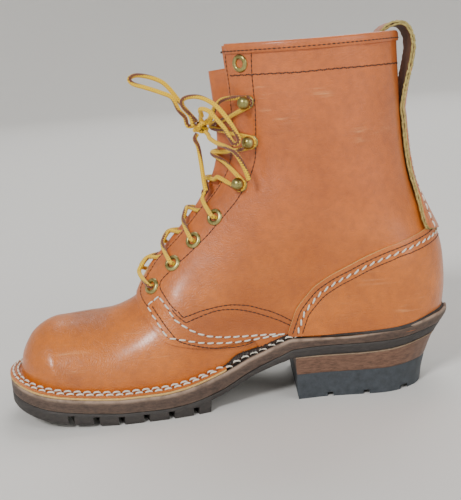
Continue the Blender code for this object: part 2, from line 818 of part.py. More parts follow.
def makeFlange():
    """A ring from the inner waist round the toe to the outer waist, with skived ends."""
    turn = np.sin(math.pi / 2 * np.linspace(0, 1, 25))
    start, inside = place(flangeFrom + 0.36 * (flangeFull - flangeFrom)), -flangeTuck
    rows = []
    for side in (1, -1):
        run = turn if side > 0 else turn[-2::-1]
        outX = start + (toeEnd - gap - start) * run
        inX = start + (toeEnd - foreLedge + inside - start) * run
        reach = np.where(outX > toeEnd - foreLedge, foreLedge, ledge(outX, side))
        out = skin(outX, soleTop(outX) + 0.002, side, reach - gap)
        inn = skin(inX, soleTop(inX) + 0.002, side, inside)
        ring = []
        for edge, up in ((inn, 0), (out, 0), (out, 1), (inn, 1), (inn, 0)):
            edge = edge.copy()
            x = edge[:, 0]
            thick = (flangeThickness + gap) * flangeShare(x) - 1.3 * gap
            edge[:, 2] = soleTop(x) - thick * (1 - up)
            ring.append(edge)
        rows.append(np.stack(ring, 1))
    addObject("flange", gridMesh("flange", np.concatenate(rows), closed=True), "edge")


def boxMesh(name, places):
    """Boxes joined in one mesh: each is a centre, a size and a turn about Z."""
    bm = bmesh.new()
    for centre, size, turn in places:
        frame = Matrix.Translation(centre) @ Matrix.Rotation(turn, 4, "Z") @ Matrix.Diagonal((*size, 1))
        bmesh.ops.create_cube(bm, size=1, matrix=frame)
    mesh = bpy.data.meshes.new(name)
    bm.to_mesh(mesh)
    bm.free()
    return mesh


def cut(obj, tool):
    bore = obj.modifiers.new("cut", "BOOLEAN")
    bore.operation, bore.object, bore.solver = "DIFFERENCE", tool, "EXACT"


def cutLugs(outsole):
    """Grooves from each edge of the forefoot inwards, and a channel between them."""
    pitch = lugWidth + lugGap
    first, last = place(lugStart) + lugWidth, toeEnd - 2.2 * lugWidth
    reach = 0.030
    grooves = []
    for side in (1, -1):
        for x in np.arange(first, last, pitch):
            edge = float(outline(x, side))
            z = float(outsoleBottom(np.array(x)))
            y = edge - side * (reach / 2 - 0.006)
            grooves.append(((x, y, z - 0.005 + lugDepth), (lugGap, reach, 0.010), side * 0.35))
    tool = cutter("lug_grooves", boxMesh("lug_grooves", grooves))
    cut(outsole, tool)


def heelRing(x, z):
    outer, inner = outline(x, -1), outline(x, 1)
    ring = np.concatenate([np.stack([x, outer, z + 0 * x], -1)[::-1], np.stack([x, inner, z + 0 * x], -1)])
    ring = taperHeel(ring, True)
    return np.concatenate([ring, ring[:1]])


def capTop(x):
    """Where the rubber meets the leather lifts; it follows a part of the seat's rise at the back."""
    return heelCapHeight + 0.3 * (soleTop(x) - seatHeight)


def heelLift(name, bottom, top, finish):
    x = heelEnd + 0.0001 + (place(heelBreast) - heelEnd) * (1 - np.cos(math.pi / 2 * np.linspace(0, 1, 22)))
    levels = [bottom(x), (bottom(x) + top(x)) / 2, top(x)]
    return addObject(name, gridMesh(name, np.stack([heelRing(x, z) for z in levels]), closed=True), finish)


def makeHeel():
    cap = heelLift("heel_cap", lambda x: 0 * x, capTop, "rubber")
    heelLift("heel_stack", lambda x: capTop(x) + gap, lambda x: outsoleBottom(x) - 3 * gap, "stack")
    middle = (place(heelBreast) + heelEnd) / 2 + 0.006
    grooves = []
    for k in (-1, 0, 1):
        for side in (1, -1):
            centre = (middle + k * 2 * lugWidth, side * 0.026, heelGrooveDepth - 0.005)
            grooves.append((centre, (lugGap, 0.030, 0.010), -side * 0.3))
    cut(cap, cutter("heel_grooves", boxMesh("heel_grooves", grooves)))


def turned(name, profile, finish):
    """A profile turned about Z; it runs down the outer side."""
    mesh = bpy.data.meshes.new(name)
    closed = profile[0][0] > 0
    edges = [(k, k + 1) for k in range(len(profile) - 1)] + ([(len(profile) - 1, 0)] if closed else [])
    mesh.from_pydata([(r, 0, z) for r, z in profile], edges, [])
    if finish:
        mesh.materials.append(finishes[finish])
    return mesh


def placeTurned(name, mesh, spot, direction, steps):
    obj = bpy.data.objects.new(name, mesh)
    boot.objects.link(obj)
    screw = obj.modifiers.new("turn", "SCREW")
    screw.steps = screw.render_steps = steps
    screw.use_merge_vertices = True
    screw.merge_threshold = 0.00001
    turn = Vector(direction).to_track_quat("Z", "Y").to_matrix().to_4x4()
    obj.matrix_world = Matrix.Translation(spot) @ turn
    return obj


holderNames = ["eyelet_1", "eyelet_2", "eyelet_3", "eyelet_4", "hook_1", "hook_2", "hook_3", "eyelet_top"]


def holderFrame(k, side):
    x = float(place(laceHolders["along"][k]))
    z = float(seatHeight + laceHolders["up"][k] * shaftRise)
    spot = skin(np.array(x), np.array(z), side)
    direction = outward(np.array(x), np.array(z), side)
    return spot + direction * panel, direction


def makeHolders():
    t, r, hole = eyeletThickness, eyeletRadius, eyeletHole
    rim = r - hole
    ring = [(hole, 0.6 * t), (hole + 0.25 * rim, t), (r - 0.3 * rim, t), (r, 0.3 * t), (r, 0), (hole, 0)]
    eyelet = turned("eyelet", ring, "brass")
    turns = np.linspace(0, 0.84 * math.pi, 7)
    ball = [(hookBall * math.sin(a), hookHeight + hookBall * math.cos(a)) for a in turns]
    ball[0] = (0, hookHeight + hookBall)
    stem = [(hookPost, hookHeight - 0.0032), (hookPost, 0.0011), (hookBase, 0.0007), (hookBase, 0), (0, 0)]
    hook = turned("hook", ball + stem, "brass")
    for word, side in (("inner", 1), ("outer", -1)):
        for k, name in enumerate(holderNames):
            spot, direction = holderFrame(k, side)
            mesh = hook if laceHolders["hook"][k] else eyelet
            lift = 2 * gap if mesh is hook else 0 if name == "eyelet_top" else gap
            steps = 12 if mesh is eyelet else 10
            placeTurned(f"{name}_{word}", mesh, spot + direction * lift, direction, steps)


def tube(name, points, radius, finish, sides=2):
    """A round cord through smooth points, as a curve with caps."""
    data = bpy.data.curves.new(name, "CURVE")
    data.dimensions = "3D"
    data.bevel_depth = radius
    data.bevel_resolution = sides
    data.use_fill_caps = True
    spline = data.splines.new("POLY")
    spline.points.add(len(points) - 1)
    for point, place3 in zip(spline.points, points):
        point.co = (*place3, 1)
    obj = bpy.data.objects.new(name, data)
    boot.objects.link(obj)
    data.materials.append(finishes[finish])
    return obj


def asMesh(obj):
    """The same piece with its curve made a mesh."""
    graph = bpy.context.evaluated_depsgraph_get()
    mesh = bpy.data.meshes.new_from_object(obj.evaluated_get(graph))
    bm = bmesh.new()
    bm.from_mesh(mesh)
    bmesh.ops.remove_doubles(bm, verts=bm.verts, dist=0.00001)
    bm.to_mesh(mesh)
    bm.free()
    name, matrix = obj.name, obj.matrix_world.copy()
    bpy.data.objects.remove(obj, do_unlink=True)
    made = bpy.data.objects.new(name, mesh)
    boot.objects.link(made)
    made.matrix_world = matrix
    return made


def frontIndexAt(x, z):
    return float(np.argmin((frontPath[:, 0] - x) ** 2 + (frontPath[:, 1] - z) ** 2))


def laceSeat(k, side):
    """Where the lace turns at a holder: over an eyelet, or round behind a hook's post."""
    spot, direction = holderFrame(k, side)
    if not laceHolders["hook"][k]:
        return [spot + direction * (seatLift + eyeletThickness + laceRadius)]
    base = spot + direction * (0.0014 + laceRadius)
    x, z = spot[0], spot[2]
    front = frontPath[int(frontIndexAt(x, z))]
    back = np.array([x - front[0], 0.0, z - front[1]])
    back -= direction * back.dot(direction)
    back /= np.linalg.norm(back)
    up = np.cross(direction, back)
    up *= math.copysign(1, up[2])
    r = hookBall + 0.0016
    turns = np.linspace(-90, 90, 5)
    return [base + r * (back * math.cos(math.radians(a)) + up * math.sin(math.radians(a))) for a in turns]


def overThroat(index, here, parts):
    """Points of the lace from one side of the throat to the other, over its edges and the tongue."""
    over = laceRadius + 6 * gap
    points = []
    for part in parts:
        at = index if np.isscalar(index) else index[0] + (index[1] - index[0]) * part
        y = here * 1.05 * throatHalf(at) * (1 if part < 0.4 else 0 if part < 0.6 else -1)
        lift = over + (0 if part == 0.5 else tongueClear + panel + 0.0022)
        points.append(tonguePlace(np.array(at), np.array(y), lift))
    return points


def lacePath(side, first, last):
    """Points of one end of the lace from side to side up the throat."""
    points = []
    for k in range(first, last + 1):
        here = side * (1 if (k - first) % 2 == 0 else -1)
        points += laceSeat(k, here)
        if k < last:
            x = place(laceHolders["along"][k : k + 2])
            z = seatHeight + laceHolders["up"][k : k + 2] * shaftRise
            span = [frontIndexAt(a, b) for a, b in zip(x, z)]
            points += overThroat(span, here, (0.28, 0.5, 0.72))
    return np.array(points)


def smoothCord(points, step):
    curve = smoothLine(np.asarray(points, float), 12)
    run = np.linalg.norm(np.diff(curve, axis=0), axis=1).sum()
    return alongPath(curve, max(2, round(run / step)))


knotSpot = np.array((0.008, 0.008, 0.1885))
laceSag = np.array((0.004, 0.000, 0.0060))  # how far the last strand strays from straight

# Each cord of the bow as steps from the knot's middle
bow = {
    "lace_loop_1": (
        (0.0060, 0.0020, 0.0010),
        (0.0100, 0.0015, 0.0070),
        (0.0140, 0.0010, 0.0125),
        (0.0175, 0.0000, 0.0205),
        (0.0250, -0.0020, 0.0245),
        (0.0350, -0.0040, 0.0285),
        (0.0430, -0.0060, 0.0315),
        (0.0455, -0.0070, 0.0350),
        (0.0410, -0.0080, 0.0370),
        (0.0330, -0.0090, 0.0355),
        (0.0250, -0.0085, 0.0320),
        (0.0200, -0.0075, 0.0275),
        (0.0150, -0.0060, 0.0205),
        (0.0100, -0.0045, 0.0130),
        (0.0035, -0.0032, 0.0045),
    ),
    "lace_loop_2": (
        (0.0035, 0.0055, 0.0015),
        (0.0060, 0.0085, 0.0080),
        (0.0100, 0.0105, 0.0140),
        (0.0105, 0.0125, 0.0185),
        (0.0060, 0.0145, 0.0205),
        (-0.0010, 0.0170, 0.0200),
        (-0.0080, 0.0200, 0.0165),
        (-0.0140, 0.0240, 0.0110),
        (-0.0200, 0.0285, 0.0020),
        (-0.0245, 0.0320, -0.0080),
        (-0.0215, 0.0320, -0.0110),
        (-0.0185, 0.0300, -0.0065),
        (-0.0160, 0.0275, -0.0010),
        (-0.0110, 0.0240, 0.0055),
        (-0.0060, 0.0200, 0.0110),
        (-0.0010, 0.0155, 0.0120),
        (-0.0015, 0.0095, 0.0075),
        (-0.0005, 0.0040, 0.0052),
    ),
    "lace_end_1": (
        (-0.0030, 0.0035, -0.0036),
        (-0.0056, 0.0095, -0.0078),
        (-0.0105, 0.0180, -0.0108),
        (-0.0160, 0.0268, -0.0128),
        (-0.0208, 0.0335, -0.0158),
        (-0.0240, 0.0362, -0.0205),
        (-0.0262, 0.0364, -0.0255),
        (-0.0277, 0.0358, -0.0300),
        (-0.0288, 0.0348, -0.0340),
    ),
    "lace_end_2": (
        (0.0035, 0.0010, -0.0060),
        (0.0028, 0.0020, -0.0135),
        (0.0016, 0.0040, -0.0260),
        (0.0006, 0.0085, -0.0390),
        (-0.0002, 0.0095, -0.0425),
    ),
}


def intoKnot(toward):
    """The last two points of a cord that meets the knot straight on, the outermost first."""
    unit = np.asarray(toward) / np.linalg.norm(toward)
    return np.outer((knotRadius + 0.0045, knotRadius + 1.6 * gap), unit)


def outsideKnot(points):
    """A cord of the bow, with the ends that reach the knot stopped just off it."""
    points = np.array(points, float)
    near = knotRadius + 3 * laceRadius
    if np.linalg.norm(points[0]) < near:
        points = np.vstack([intoKnot(points[0])[::-1], points[1:]])
    if np.linalg.norm(points[-1]) < near:
        points = np.vstack([points[:-1], intoKnot(points[-1])])
    return knotSpot + points


def makeBow():
    for name, points in bow.items():
        asMesh(tube(name, smoothCord(outsideKnot(points), 0.003), laceRadius, "lace"))
    bm = bmesh.new()
    bmesh.ops.create_icosphere(bm, subdivisions=3, radius=knotRadius)
    bmesh.ops.translate(bm, verts=bm.verts, vec=knotSpot)
    mesh = bpy.data.meshes.new("lace_knot")
    bm.to_mesh(mesh)
    bm.free()
    addObject("lace_knot", mesh, "lace")


def makeLaceRun():
    """Both ends of the lace crossing up the throat, and the bar at its foot, as one solid."""
    top = 6
    strands = []
    for side in (1, -1):
        points = lacePath(side, 0, top)
        last = points[-1]
        toKnot = knotSpot - last
        sag = last + toKnot * 0.4 + laceSag
        strands.append(np.vstack([points, sag, knotSpot + intoKnot(-toKnot)]))
    lowest = place(laceHolders["along"][0]), seatHeight + laceHolders["up"][0] * shaftRise
    low = frontIndexAt(*(float(value) for value in lowest))
    bar = [laceSeat(0, 1)[0], *overThroat(low, 1, (0.3, 0.5, 0.7)), laceSeat(0, -1)[0]]
    parts = [asMesh(tube("lace_run", smoothCord(strands[0], 0.004), laceRadius, "lace"))]
    for name, points in (("lace_far", strands[1]), ("lace_bar", bar)):
        strand = asMesh(tube(name, smoothCord(points, 0.004), laceRadius, "lace"))
        boot.objects.unlink(strand)
        cutters.objects.link(strand)
        strand.hide_render, strand.display_type = True, "WIRE"
        join = parts[0].modifiers.new("join", "BOOLEAN")
        join.operation, join.object, join.solver = "UNION", strand, "EXACT"


def centreBoot():
    """Moves everything so that the sole's width lies evenly about y = 0."""
    x = stations(heelEnd, toeEnd, 200)
    aside = (outline(x, 1).max() + outline(x, -1).min()) / 2
    for obj in bpy.data.objects:
        obj.location.y -= aside




sheet = upperSheet()
makeUpper(sheet)
makeQuarters(sheet)
makeCounter(sheet)
makeBinding(sheet)
makeStrap()
makeTongue()
makeSoleLayers()
makeFlange()
makeHeel()
makeHolders()
makeLaceRun()
makeBow()
centreBoot()
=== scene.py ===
import math

import bmesh
import bpy
import numpy as np
from mathutils import Matrix, Vector


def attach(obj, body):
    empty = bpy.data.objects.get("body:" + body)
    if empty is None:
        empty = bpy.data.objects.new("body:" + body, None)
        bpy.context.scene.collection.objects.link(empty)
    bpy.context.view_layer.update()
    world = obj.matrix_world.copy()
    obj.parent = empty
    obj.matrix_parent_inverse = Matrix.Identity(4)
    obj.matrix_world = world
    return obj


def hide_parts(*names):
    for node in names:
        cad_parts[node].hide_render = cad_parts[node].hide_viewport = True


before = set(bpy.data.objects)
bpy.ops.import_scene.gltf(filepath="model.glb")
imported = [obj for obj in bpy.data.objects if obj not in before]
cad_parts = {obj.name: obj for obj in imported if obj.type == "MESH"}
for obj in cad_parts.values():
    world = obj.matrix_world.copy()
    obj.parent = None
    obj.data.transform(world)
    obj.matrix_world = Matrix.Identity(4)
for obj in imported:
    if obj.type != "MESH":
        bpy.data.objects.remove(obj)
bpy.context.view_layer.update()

# Right boot; toe at +X, inner side of the foot at +Y, metres
bootSizes = {
    "length": 0.308,
    "ball": 0.098,
    "heel": 0.068,
    "ankle": 0.073,
    "collar": 0.085,
    "shaftRise": 0.196,
    "toeSpring": 0.014,
    "toeSwing": 0.012,
    "seat": 0.0442,  # floor to the heel seat
    "foreTop": 0.0202,  # floor to the sole's top at the ball
    "wall": 0.0020,
    "panel": 0.0017,  # form to the quarters' outer face
    "foreLedge": 0.0080,
    "heelLedge": 0.0051,
    "backLedge": 0.0071,
    "outlineLift": 0.002,  # over the sole's top, where the sole takes the form's outline
}
collarTop = bootSizes["seat"] + bootSizes["shaftRise"]


def table(columns, *rows):
    return {name: np.array(values, float) for name, values in zip(columns.split(), zip(*rows))}


# The last's lines: shares of the boot's length, of the shaft's rise and of the ball's width
lastLines = {
    "sole": table(
        "along heel spring",
        (0.00, 1.25, 0.00), (0.03, 1.23, 0.00), (0.06, 1.185, 0.00), (0.10, 1.095, 0.00),
        (0.15, 1.025, 0.00), (0.20, 1.00, 0.00), (0.36, 1.00, 0.00), (0.395, 0.89, 0.00),
        (0.435, 0.72, 0.00), (0.48, 0.51, 0.00), (0.525, 0.325, 0.00), (0.57, 0.16, 0.00),
        (0.615, 0.05, 0.00), (0.66, 0.00, 0.00), (0.73, 0.00, 0.00), (0.78, 0.00, 0.07),
        (0.845, 0.00, 0.24), (0.91, 0.00, 0.48), (0.975, 0.00, 0.82), (1.03, 0.00, 1.10),
    ),
    "front": table(
        "along up round",
        (0.974, -0.15, 0.36), (0.974, 0.00, 0.37), (0.972, 0.035, 0.38), (0.964, 0.080, 0.38),
        (0.940, 0.145, 0.39), (0.903, 0.192, 0.40), (0.860, 0.210, 0.42), (0.795, 0.226, 0.45),
        (0.748, 0.245, 0.49), (0.709, 0.275, 0.53), (0.692, 0.323, 0.55), (0.667, 0.383, 0.58),
        (0.622, 0.448, 0.60), (0.574, 0.512, 0.61), (0.545, 0.547, 0.61), (0.506, 0.600, 0.61),
        (0.480, 0.646, 0.60), (0.467, 0.694, 0.60), (0.465, 0.770, 0.60), (0.470, 0.900, 0.60),
        (0.479, 1.060, 0.60), (0.485, 1.180, 0.60),
    ),
    "back": table(
        "along up round",
        (0.0290, -0.25, 0.33), (0.0285, 0.00, 0.34), (0.0245, 0.03, 0.345), (0.0205, 0.06, 0.35),
        (0.0160, 0.12, 0.37), (0.0148, 0.18, 0.38), (0.0170, 0.245, 0.39), (0.0245, 0.30, 0.41),
        (0.037, 0.347, 0.44), (0.052, 0.40, 0.48), (0.068, 0.46, 0.53), (0.079, 0.525, 0.57),
        (0.087, 0.62, 0.60), (0.091, 0.745, 0.60), (0.093, 0.87, 0.60), (0.093, 1.00, 0.60),
        (0.092, 1.15, 0.60),
    ),
    "plan": table(
        "along inner outer",
        (0.00, 0.505, 0.505), (0.12, 0.510, 0.515), (0.22, 0.495, 0.510), (0.34, 0.425, 0.470),
        (0.44, 0.385, 0.455), (0.54, 0.415, 0.480), (0.65, 0.462, 0.502), (0.73, 0.474, 0.505),
        (0.81, 0.462, 0.480), (0.88, 0.440, 0.440), (0.96, 0.420, 0.400), (1.05, 0.410, 0.390),
    ),
    "shaft": table(
        "up ankle collar",
        (0.00, 0.95, 0.00), (0.30, 1.00, 0.00), (0.42, 0.92, 0.08), (0.54, 0.62, 0.38),
        (0.70, 0.22, 0.78), (0.85, 0.04, 0.96), (1.00, 0.00, 1.00),
    ),
    "throat": table("rise half", (0.00, 0.070), (0.10, 0.085), (0.45, 0.115), (0.75, 0.150), (1.00, 0.175)),
}


def place(along):
    return (np.asarray(along, float) - 0.5) * bootSizes["length"]


def share(x):
    return np.asarray(x, float) / bootSizes["length"] + 0.5


def ease(t):
    t = np.clip(t, 0.0, 1.0)
    return t * t * (3.0 - 2.0 * t)


def unit(vectors):
    return vectors / np.maximum(np.linalg.norm(vectors, axis=-1, keepdims=True), 1e-12)


# Smooth line without overshoot through a table's column over its key, held past its ends
def follow(rows, column, key, at):
    x, y = rows[key], rows[column]
    step = np.diff(x)
    slope = np.diff(y) / step
    lean = np.concatenate([slope[:1], np.zeros(len(slope) - 1), slope[-1:]])
    same = slope[1:] * slope[:-1] > 0
    lean[1:-1][same] = 2 * slope[1:][same] * slope[:-1][same] / (slope[1:] + slope[:-1])[same]
    at = np.clip(at, x[0], x[-1])
    i = np.clip(np.searchsorted(x, at) - 1, 0, len(step) - 1)
    t = (at - x[i]) / step[i]
    hold = y[i] * (1 + 2 * t) * (1 - t) ** 2 + y[i + 1] * t * t * (3 - 2 * t)
    return hold + step[i] * t * (1 - t) * (lean[i] * (1 - t) - lean[i + 1] * t)


def smoothLine(points, pieces=10):
    points = np.asarray(points, float)
    ends = np.vstack([2 * points[0] - points[1], points, 2 * points[-1] - points[-2]])
    t = np.linspace(0, 1, pieces, endpoint=False)[:, None]
    spans = []
    for a, b, c, d in zip(ends, ends[1:], ends[2:], ends[3:]):
        bend = 2 * a - 5 * b + 4 * c - d
        spans.append(b + 0.5 * ((c - a) * t + bend * t**2 + (3 * b - 3 * c + d - a) * t**3))
    return np.vstack(spans + [points[-1:]])


def runLength(points):
    return np.concatenate([[0], np.cumsum(np.linalg.norm(np.diff(points, axis=0), axis=1))])


# Values of each column at places along a run
def readAt(at, run, columns):
    return np.stack([np.interp(at, run, column) for column in columns.T], -1)


def evenSteps(points, count):
    run = runLength(points)
    return readAt(np.linspace(0, run[-1], count + 1), run, points)


def soleTop(x):
    heel = follow(lastLines["sole"], "heel", "along", share(x))
    spring = follow(lastLines["sole"], "spring", "along", share(x))
    rise = bootSizes["seat"] - bootSizes["foreTop"]
    return bootSizes["foreTop"] + rise * heel + bootSizes["toeSpring"] * spring


def sideLine(rows, floor):
    x = place(rows["along"])
    z = floor(x) + rows["up"] * bootSizes["shaftRise"]
    return smoothLine(np.stack([x, z, rows["round"] * bootSizes["ball"]], 1))


frontPath = sideLine(lastLines["front"], soleTop)
backPath = sideLine(lastLines["back"], lambda x: bootSizes["seat"] + 0 * x)


# How far inside an end line of the form each place lies, and that end's roundness there
def depth(path, facing, x, z):
    spot = np.stack(np.broadcast_arrays(x, z), -1).reshape(-1, 1, 2)
    start, run = path[:-1, :2], np.diff(path[:, :2], axis=0)
    found, reached = [], []
    for part in np.array_split(spot, max(1, len(spot) // 4000)):
        t = np.clip(((part - start) * run).sum(2) / (run**2).sum(1), 0, 1)
        away = part - start - run * t[..., None]
        length = np.sqrt((away**2).sum(2))
        i = length.argmin(1)
        row = np.arange(len(part))
        away, t = away[row, i], t[row, i]
        side = run[i, 0] * away[:, 1] - run[i, 1] * away[:, 0]
        found.append(np.sign(side) * length[row, i] * facing)
        reached.append(path[i, 2] + (path[i + 1, 2] - path[i, 2]) * t)
    shape = np.broadcast(x, z).shape
    return np.concatenate(found).reshape(shape), np.concatenate(reached).reshape(shape)


def bulge(t):
    return np.sqrt(np.clip(1 - (1 - np.clip(t, 0, 1)) ** 2, 0, 1))


# Half width of the form away from its rounded ends
def plateau(x, z, side):
    heel, ball = bootSizes["heel"], bootSizes["ball"]
    local = heel + (ball - heel) * ease((share(x) - 0.2) / 0.45)
    base = local * follow(lastLines["plan"], "inner" if side > 0 else "outer", "along", share(x))
    up = (z - soleTop(x)) / bootSizes["shaftRise"]
    ankle = bootSizes["ankle"] / 2 * follow(lastLines["shaft"], "ankle", "up", up)
    collar = bootSizes["collar"] / 2 * follow(lastLines["shaft"], "collar", "up", up)
    return base + (ankle + collar - base) * ease((up - 0.10) / 0.42)


def halfWidth(x, z, side, off=0.0):
    front, frontReach = depth(frontPath, 1, x, z)
    back, backReach = depth(backPath, -1, x, z)
    ends = bulge((front + off) / (frontReach + off)) * bulge((back + off) / (backReach + off))
    return (plateau(x, z, side) + off) * ends


def backX(z):
    return np.interp(z, backPath[:, 1], backPath[:, 0])


heelEnd = float(backX(soleTop(place(0)) + bootSizes["outlineLift"])) - bootSizes["backLedge"]
toeEnd = float(place(lastLines["front"]["along"][1])) + bootSizes["foreLedge"]


# Shares of the length where something starts, and over which it grows
growth = {"swing": (0.53, 0.445), "innerLedge": (0.49, 0.11), "outerLedge": (0.38, 0.14), "backLedge": 0.12}


def swing(x):
    start, run = growth["swing"]
    return bootSizes["toeSwing"] * np.clip((share(x) - start) / run, 0.0, None) ** 2


# How far the sole stands out past the upper
def ledge(x, side):
    start, run = growth["innerLedge"] if side > 0 else growth["outerLedge"]
    heel, back = bootSizes["heelLedge"], bootSizes["backLedge"]
    fore = (bootSizes["foreLedge"] - heel) * ease((share(x) - start) / run)
    return heel + fore + (back - heel) * ease(1 - share(x) / growth["backLedge"])


def soleHalf(x, side, trim=0.0):
    return halfWidth(x, soleTop(x) + bootSizes["outlineLift"], side, ledge(x, side) - trim)


def stations(first, last, count):
    return first + (last - first) * (1 - np.cos(math.pi * np.linspace(0, 1, count + 1))) / 2


wideAt = stations(heelEnd, toeEnd, 200)
aside = ((swing(wideAt) + soleHalf(wideAt, 1)).max() + (swing(wideAt) - soleHalf(wideAt, -1)).min()) / 2


def centreLine(x):
    return swing(x) - aside


# A place on the form seen from the side at x and z, off beyond it
def skin(x, z, side, off=0.0):
    return np.stack([x + 0 * z, centreLine(x) + side * halfWidth(x, z, side, off), z + 0 * x], -1)


def outward(x, z, side):
    h = 0.0004
    slopeX = (halfWidth(x + h, z, side) - halfWidth(x - h, z, side)) / (2 * h)
    slopeZ = (halfWidth(x, z + h, side) - halfWidth(x, z - h, side)) / (2 * h)
    lean = (centreLine(x + h) - centreLine(x - h)) / (2 * h)
    return unit(np.stack([-slopeX - side * lean, side + 0 * slopeX, -slopeZ], -1))


def pathTurn(path):
    lean = unit(np.gradient(path[:, :2], axis=0))
    return np.stack([-lean[:, 1], lean[:, 0]], -1)


throatLine = {"foot": 0.700, "toeTop": 0.835}
frontInward = pathTurn(frontPath)
abovePath = 9 * (frontPath[:, 1] < bootSizes["foreTop"])
footIndex = int(np.argmin(np.abs(frontPath[:, 0] - place(throatLine["foot"])) + abovePath))
toeIndex = int(np.argmin(np.abs(frontPath[:, 0] - place(throatLine["toeTop"])) + abovePath))
collarIndex = int(np.argmin(np.abs(frontPath[:, 1] - collarTop)))


def throatRise(index):
    return (index - footIndex) / (collarIndex - footIndex)


def throatHalf(index):
    return bootSizes["ball"] * follow(lastLines["throat"], "half", "rise", throatRise(index))


# Side-view place on the round front of the form, y from its middle, at an index along its front line
def frontSpot(index, y, off=0.0):
    at = np.arange(len(frontPath))
    x, z, reach = (np.interp(index, at, column) for column in frontPath.T)
    inX, inZ = (np.interp(index, at, column) for column in frontInward.T)
    wide = plateau(x + 0.003 * inX, z + 0.003 * inZ, 1)
    down = (reach + off) * (1 - np.sqrt(1 - np.clip(np.abs(y) / (wide + off), 0, 0.98) ** 2)) - off
    return np.stack([x + down * inX, z + down * inZ], -1)


print("form ready, boot moved aside by", round(float(aside) * 1000, 2), "mm")

# Camera fitted to the photo: its place, turns in radians, and focal length in pixels of a 461 px frame
photoCamera = {
    "place": (-0.006942, 0.618738, 0.225),
    "yaw": 0.0025942,
    "pitch": 0.1982677,
    "roll": -0.0800391,
    "focal": 900.0,
    "width": 461.0,
    "height": 500.0,
}


def cameraAxes():
    yaw, pitch, roll = (photoCamera[key] for key in ("yaw", "pitch", "roll"))
    ahead = np.array([math.sin(yaw) * math.cos(pitch), -math.cos(yaw) * math.cos(pitch), -math.sin(pitch)])
    right = unit(np.cross(ahead, (0, 0, 1)))
    up = np.cross(right, ahead)
    c, s = math.cos(roll), math.sin(roll)
    return c * right + s * up, c * up - s * right, ahead


camRight, camUp, camAhead = cameraAxes()
camPlace = np.array(photoCamera["place"]) - (0, aside, 0)
camera = bpy.data.objects.new("photoCamera", bpy.data.cameras.new("photoCamera"))
bpy.context.scene.collection.objects.link(camera)
camera.data.sensor_fit = "HORIZONTAL"
camera.data.lens = photoCamera["focal"] / photoCamera["width"] * camera.data.sensor_width
camera.data.clip_start = 0.01
axes = Matrix((camRight, camUp, -camAhead)).transposed()
camera.matrix_world = Matrix.Translation(camPlace) @ axes.to_4x4()
bpy.context.scene.camera = camera


# Side-view places on the inner side of the boot under a smooth line through the photo's pixels
def onBoot(pixels, off, pieces=6):
    line = smoothLine(pixels, pieces) if len(pixels) > 2 and pieces > 1 else np.asarray(pixels, float)
    across = (line[:, 0] - photoCamera["width"] / 2) / photoCamera["focal"]
    down = (line[:, 1] - photoCamera["height"] / 2) / photoCamera["focal"]
    ray = camAhead + across[:, None] * camRight - down[:, None] * camUp
    y = 0.035 + 0 * across
    for _ in range(30):
        spot = camPlace + ray * ((y - camPlace[1]) / ray[:, 1])[:, None]
        y = 0.4 * y + 0.6 * (centreLine(spot[:, 0]) + halfWidth(spot[:, 0], spot[:, 2], 1, off))
    return spot[:, [0, 2]]


# Shader building blocks
# A node with its settings, inputs by name or index, each a number or another node's output
def wire(tree, kind, inputs=None, **settings):
    made = tree.nodes.new(kind)
    for key, value in settings.items():
        setattr(made, key, value)
    for key, value in (inputs or {}).items():
        socket = made.inputs[key]
        if isinstance(value, bpy.types.NodeSocket):
            tree.links.new(value, socket)
        else:
            socket.default_value = value
    return made


# A shared node group from lists of named inputs and outputs
def newGroup(name, inputs, outputs):
    tree = bpy.data.node_groups.new(name, "ShaderNodeTree")
    for label, kind, value in inputs:
        socket = tree.interface.new_socket(name=label, in_out="INPUT", socket_type=kind)
        if value is not None:
            socket.default_value = value
    for label, kind in outputs:
        tree.interface.new_socket(name=label, in_out="OUTPUT", socket_type=kind)
    return tree, tree.nodes.new("NodeGroupInput"), tree.nodes.new("NodeGroupOutput")


def useGroup(tree, name, inputs):
    return wire(tree, "ShaderNodeGroup", inputs, node_tree=bpy.data.node_groups[name])


def maths(tree, operation, a, b=0.0, clamp=False):
    return wire(tree, "ShaderNodeMath", {0: a, 1: b}, operation=operation, use_clamp=clamp).outputs[0]


def times(tree, a, b, clamp=False):
    return maths(tree, "MULTIPLY", a, b, clamp)


def plus(tree, a, b):
    return maths(tree, "ADD", a, b)


def mixColour(tree, factor, a, b, mode="MIX"):
    made = wire(tree, "ShaderNodeMix", data_type="RGBA", blend_type=mode)
    for index, value in ((0, factor), (6, a), (7, b)):
        if isinstance(value, bpy.types.NodeSocket):
            tree.links.new(value, made.inputs[index])
        else:
            made.inputs[index].default_value = value if index == 0 else (*value, 1.0)
    return made.outputs[2]


def ramp(tree, value, low, high):
    made = wire(tree, "ShaderNodeMapRange", {"Value": value, "From Min": low, "From Max": high}, clamp=True)
    return made.outputs["Result"]


def noise(tree, vector, scale, detail=3.0, rough=0.5):
    inputs = {"Vector": vector, "Scale": scale, "Detail": detail, "Roughness": rough}
    return wire(tree, "ShaderNodeTexNoise", inputs).outputs["Fac"]


floatSocket, vectorSocket = "NodeSocketFloat", "NodeSocketVector"


